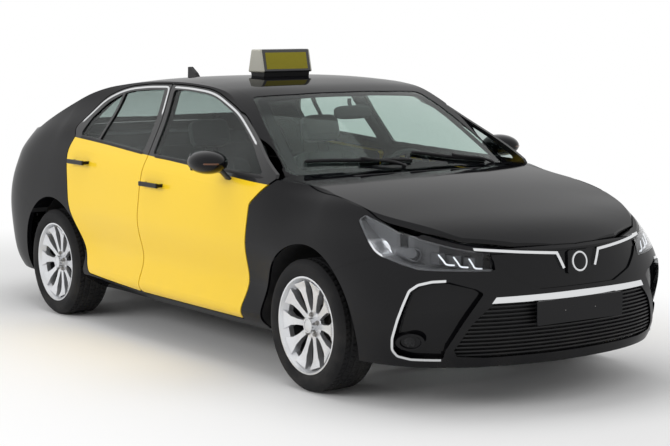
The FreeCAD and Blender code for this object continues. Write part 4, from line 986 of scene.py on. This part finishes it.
# Lean of the front backrests, from lying flat, and the front seats' distance from the middle
SEAT_LEAN = math.radians(74)
SEAT_Y = 0.375


class TAXI_OT_seats(Operator):
    """Front seats, rear bench and the small fittings of the cabin"""
    bl_idname = "taxi.seats"
    bl_label = "Seats and cabin"

    def execute(self, context):
        self.front_seats()
        self.rear_bench()
        self.fittings()
        return {"FINISHED"}

    def soft(self, name, grids, centre, lean, replaced=None):
        """Padded piece of seat cloth."""
        form = Form()
        for grid in grids:
            form.add(moved(grid, centre, lean))
        piece = form.piece(name, "seat_cloth", "shell", "cloth", 50.0)
        if replaced:
            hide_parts(replaced)

    def front_seats(self):
        """Cushion, backrest and head rest of each front seat, its base and the two bars of the head rest."""
        seams = (("y", -0.56, 0.035), ("y", 0.56, 0.035), ("x", -0.25, 0.025), ("x", 0.3, 0.025))
        ring = np.linspace(0, 2 * np.pi, 16, endpoint=False)
        round_bar = np.stack((0.006 * np.cos(ring), 0.006 * np.sin(ring)), -1)
        for side, sign in SIDES:
            middle = SEAT_Y * sign
            cushion = padded((0.245, 0.243, 0.068), 7.0, 0.03, seams, 0.010, 0.018)
            self.soft("seat_cushion_" + side, cushion, (0.055, middle, 0.366), 0.0, "front_seats")
            rest = padded((0.295, 0.232, 0.060), 7.0, 0.03, seams, 0.012, 0.024)
            self.soft("seat_back_" + side, rest, (-0.228, middle, 0.695), SEAT_LEAN)
            head = padded((0.080, 0.122, 0.042), 4.5, 0.02, (("x", 0.55, 0.05),), 0.004)
            self.soft("head_rest_" + side, head, (-0.325, middle, 1.115), SEAT_LEAN)
            base = Form().add(pebble((0.03, middle, 0.272), (0.205, 0.183, 0.046), 7.0), wrap_columns=True)
            for y in (middle - 0.035, middle + 0.035):
                path = spread(((-0.285, y, 0.95), (-0.300, y, 1.01), (-0.312, y, 1.06)), 10)
                base.carry(path, np.tile((1.0, 0.0, 0.0), (10, 1)), round_bar)
            base.piece("seat_base_" + side, "cabin_trim", "shell", "trim")

    def rear_bench(self):
        """Cushion and backrest over the full width."""
        seams = (("y", -0.33, 0.018), ("y", 0.33, 0.018), ("x", 0.1, 0.03))
        cushion = padded((0.205, 0.575, 0.050), 9.0, 0.02, seams, 0.010, 0.012, 60)
        self.soft("bench_cushion", cushion, (-0.850, 0.0, 0.450), 0.03, "rear_bench")
        rest = padded((0.255, 0.575, 0.055), 9.0, 0.02, seams, 0.010, 0.012, 60)
        self.soft("bench_back", rest, (-1.200, 0.0, 0.735), SEAT_LEAN + 0.08)

    def fittings(self):
        """Centre screen and gear selector."""
        form = Form().add(pebble((0.715, 0.0, 0.905), (0.010, 0.135, 0.062), 8.0), wrap_columns=True)
        form.piece("centre_screen", "gloss_black", "shell", "gloss_black")
        form = Form().add(pebble((0.30, 0.0, 0.515), (0.020, 0.022, 0.030), 3.0), wrap_columns=True)
        stick = ((0.0, 0.40), (0.030, 0.40), (0.024, 0.43), (0.008, 0.45), (0.007, 0.50), (0.0, 0.50))
        form.turn(stick, (0.30, 0.0, 0.0), (0, 0, 1), 32)
        form.piece("gear_selector", "cabin_trim", "shell", "trim")


def sheet_piece(name, face, normals, thick, finish, slot):
    """Thin closed sheet: a surface's points, the same raised along their normals, and a rim."""
    raised = face + normals * thick
    sunk = face - normals * 0.0004
    form = Form().add(raised)
    form.add(sunk[:, ::-1])
    for low, high in ((sunk[0], raised[0]), (raised[-1], sunk[-1]), (raised[:, 0], sunk[:, 0]),
                      (sunk[:, -1], raised[:, -1])):
        form.add(np.stack((low, high)))
    form.piece(name, finish, "shell", slot)


class TAXI_OT_roof_sign(Operator):
    """Blank coloured panels on the front and back of the roof sign"""
    bl_idname = "taxi.roof_sign"
    bl_label = "Roof sign"
    margin: length("Margin", "Width of the dark border round a panel", 0.018)

    def execute(self, context):
        low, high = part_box("roof_sign")
        y = np.linspace(low[1] + SIGN_END + self.margin, high[1] - SIGN_END - self.margin, 24)
        z = np.linspace(low[2] + self.margin, high[2] - self.margin, 10)
        skin = Skin("roof_sign")
        for name, start, sign in (("sign_panel_front", 1.0, -1.0), ("sign_panel_back", -1.5, 1.0)):
            face, normals = skin.over(y, z, start, sign)
            sheet_piece(name, face, normals, 0.0012, "sign_panel", "sign_white")
        return {"FINISHED"}


class TAXI_OT_rear_details(Operator):
    """Reflectors of the rear bumper"""
    bl_idname = "taxi.rear_details"
    bl_label = "Rear details"

    def execute(self, context):
        skin = Skin("rear_bumper")
        middle_y, middle_z, half_y, half_z = 0.66, 0.400, 0.075, 0.017
        z = np.linspace(middle_z - half_z, middle_z + half_z, 8)
        for side, sign in SIDES:
            y = np.linspace(sign * middle_y - half_y, sign * middle_y + half_y, 24)
            face, normals = skin.over(y, z, -AHEAD, 1.0)
            sheet_piece("rear_reflector_" + side, face, normals, 0.003, "tail_red", "lamp_red")
        return {"FINISHED"}


# The photograph's view, fitted to the wheels, lamps, door lines and roof: place, and yaw, pitch and roll
CAMERA_PLACE = (8.0132, -5.2819, 1.7378)
CAMERA_TURN = (145.3645, -6.6946, -0.3001)
# Ellipse under the cab, as half length and half width, outside which the floor turns white
SHADOW_HALF = (2.6, 1.2)
FLOOR_REACH = 60.0


class TAXI_OT_studio(Operator):
    """White floor and background, soft lights and the camera"""
    bl_idname = "taxi.studio"
    bl_label = "Studio"

    def execute(self, context):
        studio = context.scene.taxi_studio
        self.floor()
        self.world(studio.ambient)
        for name, place, size, power, target in (
                ("top_light", (0.3, 0.0, 5.2), (5.0, 2.6), studio.top_power, (0, 0, 0)),
                ("front_light", (7.0, 3.2, 3.8), (3.0, 3.0), studio.front_power, (1, 0, 0.6)),
                ("side_light", (-0.6, -7.0, 3.4), (7.0, 1.8), studio.key_power, (0, 0, 0.7))):
            self.lamp(name, place, size, power, target)
        self.camera(studio.lens)
        context.scene.view_settings.view_transform = "Standard"
        return {"FINISHED"}

    def floor(self):
        """Wide plane that keeps the cab's shadow and is white to the camera where nothing shades it."""
        mesh = bpy.data.meshes.new("studio_floor")
        r = FLOOR_REACH
        mesh.from_pydata([(-r, -r, 0), (r, -r, 0), (r, r, 0), (-r, r, 0)], [], [(0, 1, 2, 3)])
        floor = bpy.data.objects.new("studio_floor", mesh)
        bpy.context.scene.collection.objects.link(floor)
        finish = Finish("floor_white", (0.90, 0.90, 0.90), 0.7, Specular_IOR_Level=0.0)
        x, y, z = finish.axes()
        along, across = x / SHADOW_HALF[0], y / SHADOW_HALF[1]
        far = (along * along + across * across).math("SQRT").ramp(1.05, 2.3)
        white = add_node(finish.tree, "Emission", {})
        mix_shaders(finish.tree, far * seen_directly(finish.tree), finish.shader.outputs[0], white)
        mesh.materials.append(MATERIALS["floor_white"])

    def world(self, ambient):
        """White for the camera, in reflections and through glass, and softer where it lights surfaces."""
        world = bpy.data.worlds.new("studio")
        bpy.context.scene.world = world
        world.use_nodes = True
        strength = seen_directly(world.node_tree) * (1.0 - ambient) + ambient
        background = world.node_tree.nodes["Background"]
        background.inputs["Color"].default_value = (1, 1, 1, 1)
        feed(world.node_tree, background.inputs["Strength"], strength)

    def lamp(self, name, place, size, power, target):
        """Wide soft light that aims at a point and isn't mirrored in the paint."""
        data = bpy.data.lights.new(name, "AREA")
        data.shape = "RECTANGLE"
        data.size, data.size_y = size
        data.energy = power
        lamp = bpy.data.objects.new(name, data)
        lamp.location = place
        lamp.visible_glossy = False
        lamp.rotation_euler = (Vector(target) - Vector(place)).to_track_quat("-Z", "Y").to_euler()
        bpy.context.scene.collection.objects.link(lamp)

    def camera(self, lens):
        """Camera at the photograph's place, rolled about its own line of sight."""
        yaw, pitch, roll = (math.radians(angle) for angle in CAMERA_TURN)
        forward = Vector((math.cos(pitch) * math.cos(yaw), math.cos(pitch) * math.sin(yaw), math.sin(pitch)))
        level = forward.cross(Vector((0, 0, 1))).normalized()
        upright = level.cross(forward)
        right = level * math.cos(roll) + upright * math.sin(roll)
        up = upright * math.cos(roll) - level * math.sin(roll)
        data = bpy.data.cameras.new("camera")
        data.sensor_width = 36
        data.lens = lens
        data.clip_end = 200
        camera = bpy.data.objects.new("camera", data)
        axes = Matrix((right, up, -forward)).transposed()
        camera.matrix_world = Matrix.Translation(CAMERA_PLACE) @ axes.to_4x4()
        bpy.context.scene.collection.objects.link(camera)
        bpy.context.scene.camera = camera


GROUPS = (("taxi_colours", TaxiColours), ("taxi_sizes", TaxiSizes), ("taxi_studio", TaxiStudio))
STEPS = (TAXI_OT_finishes, TAXI_OT_window_trim, TAXI_OT_wheels, TAXI_OT_front_details, TAXI_OT_glass_fittings,
         TAXI_OT_door_mirrors, TAXI_OT_seats, TAXI_OT_roof_sign, TAXI_OT_rear_details, TAXI_OT_studio)


class TAXI_PT_panel(Panel):
    """Lists the cab's settings and steps"""
    bl_idname = "TAXI_PT_panel"
    bl_label = "Taxi cab"
    bl_space_type = "VIEW_3D"
    bl_region_type = "UI"
    bl_category = "Taxi"

    def draw(self, context):
        for name, group in GROUPS:
            box = self.layout.box()
            for key in group.__annotations__:
                box.prop(getattr(context.scene, name), key)
        for step in STEPS:
            self.layout.operator(step.bl_idname)


CLASSES = (*(group for name, group in GROUPS), *STEPS, TAXI_PT_panel)


def register():
    for group in CLASSES:
        bpy.utils.register_class(group)
    for name, group in GROUPS:
        setattr(bpy.types.Scene, name, PointerProperty(type=group))


def unregister():
    for name, group in GROUPS:
        delattr(bpy.types.Scene, name)
    for group in reversed(CLASSES):
        bpy.utils.unregister_class(group)


def main():
    """Builds every piece in order."""
    register()
    bpy.ops.taxi.finishes()
    bpy.ops.taxi.window_trim()
    bpy.ops.taxi.wheels()
    bpy.ops.taxi.front_details()
    bpy.ops.taxi.glass_fittings()
    bpy.ops.taxi.door_mirrors()
    bpy.ops.taxi.seats()
    bpy.ops.taxi.roof_sign()
    bpy.ops.taxi.rear_details()
    bpy.ops.taxi.studio()


if __name__ == "__main__":
    main()
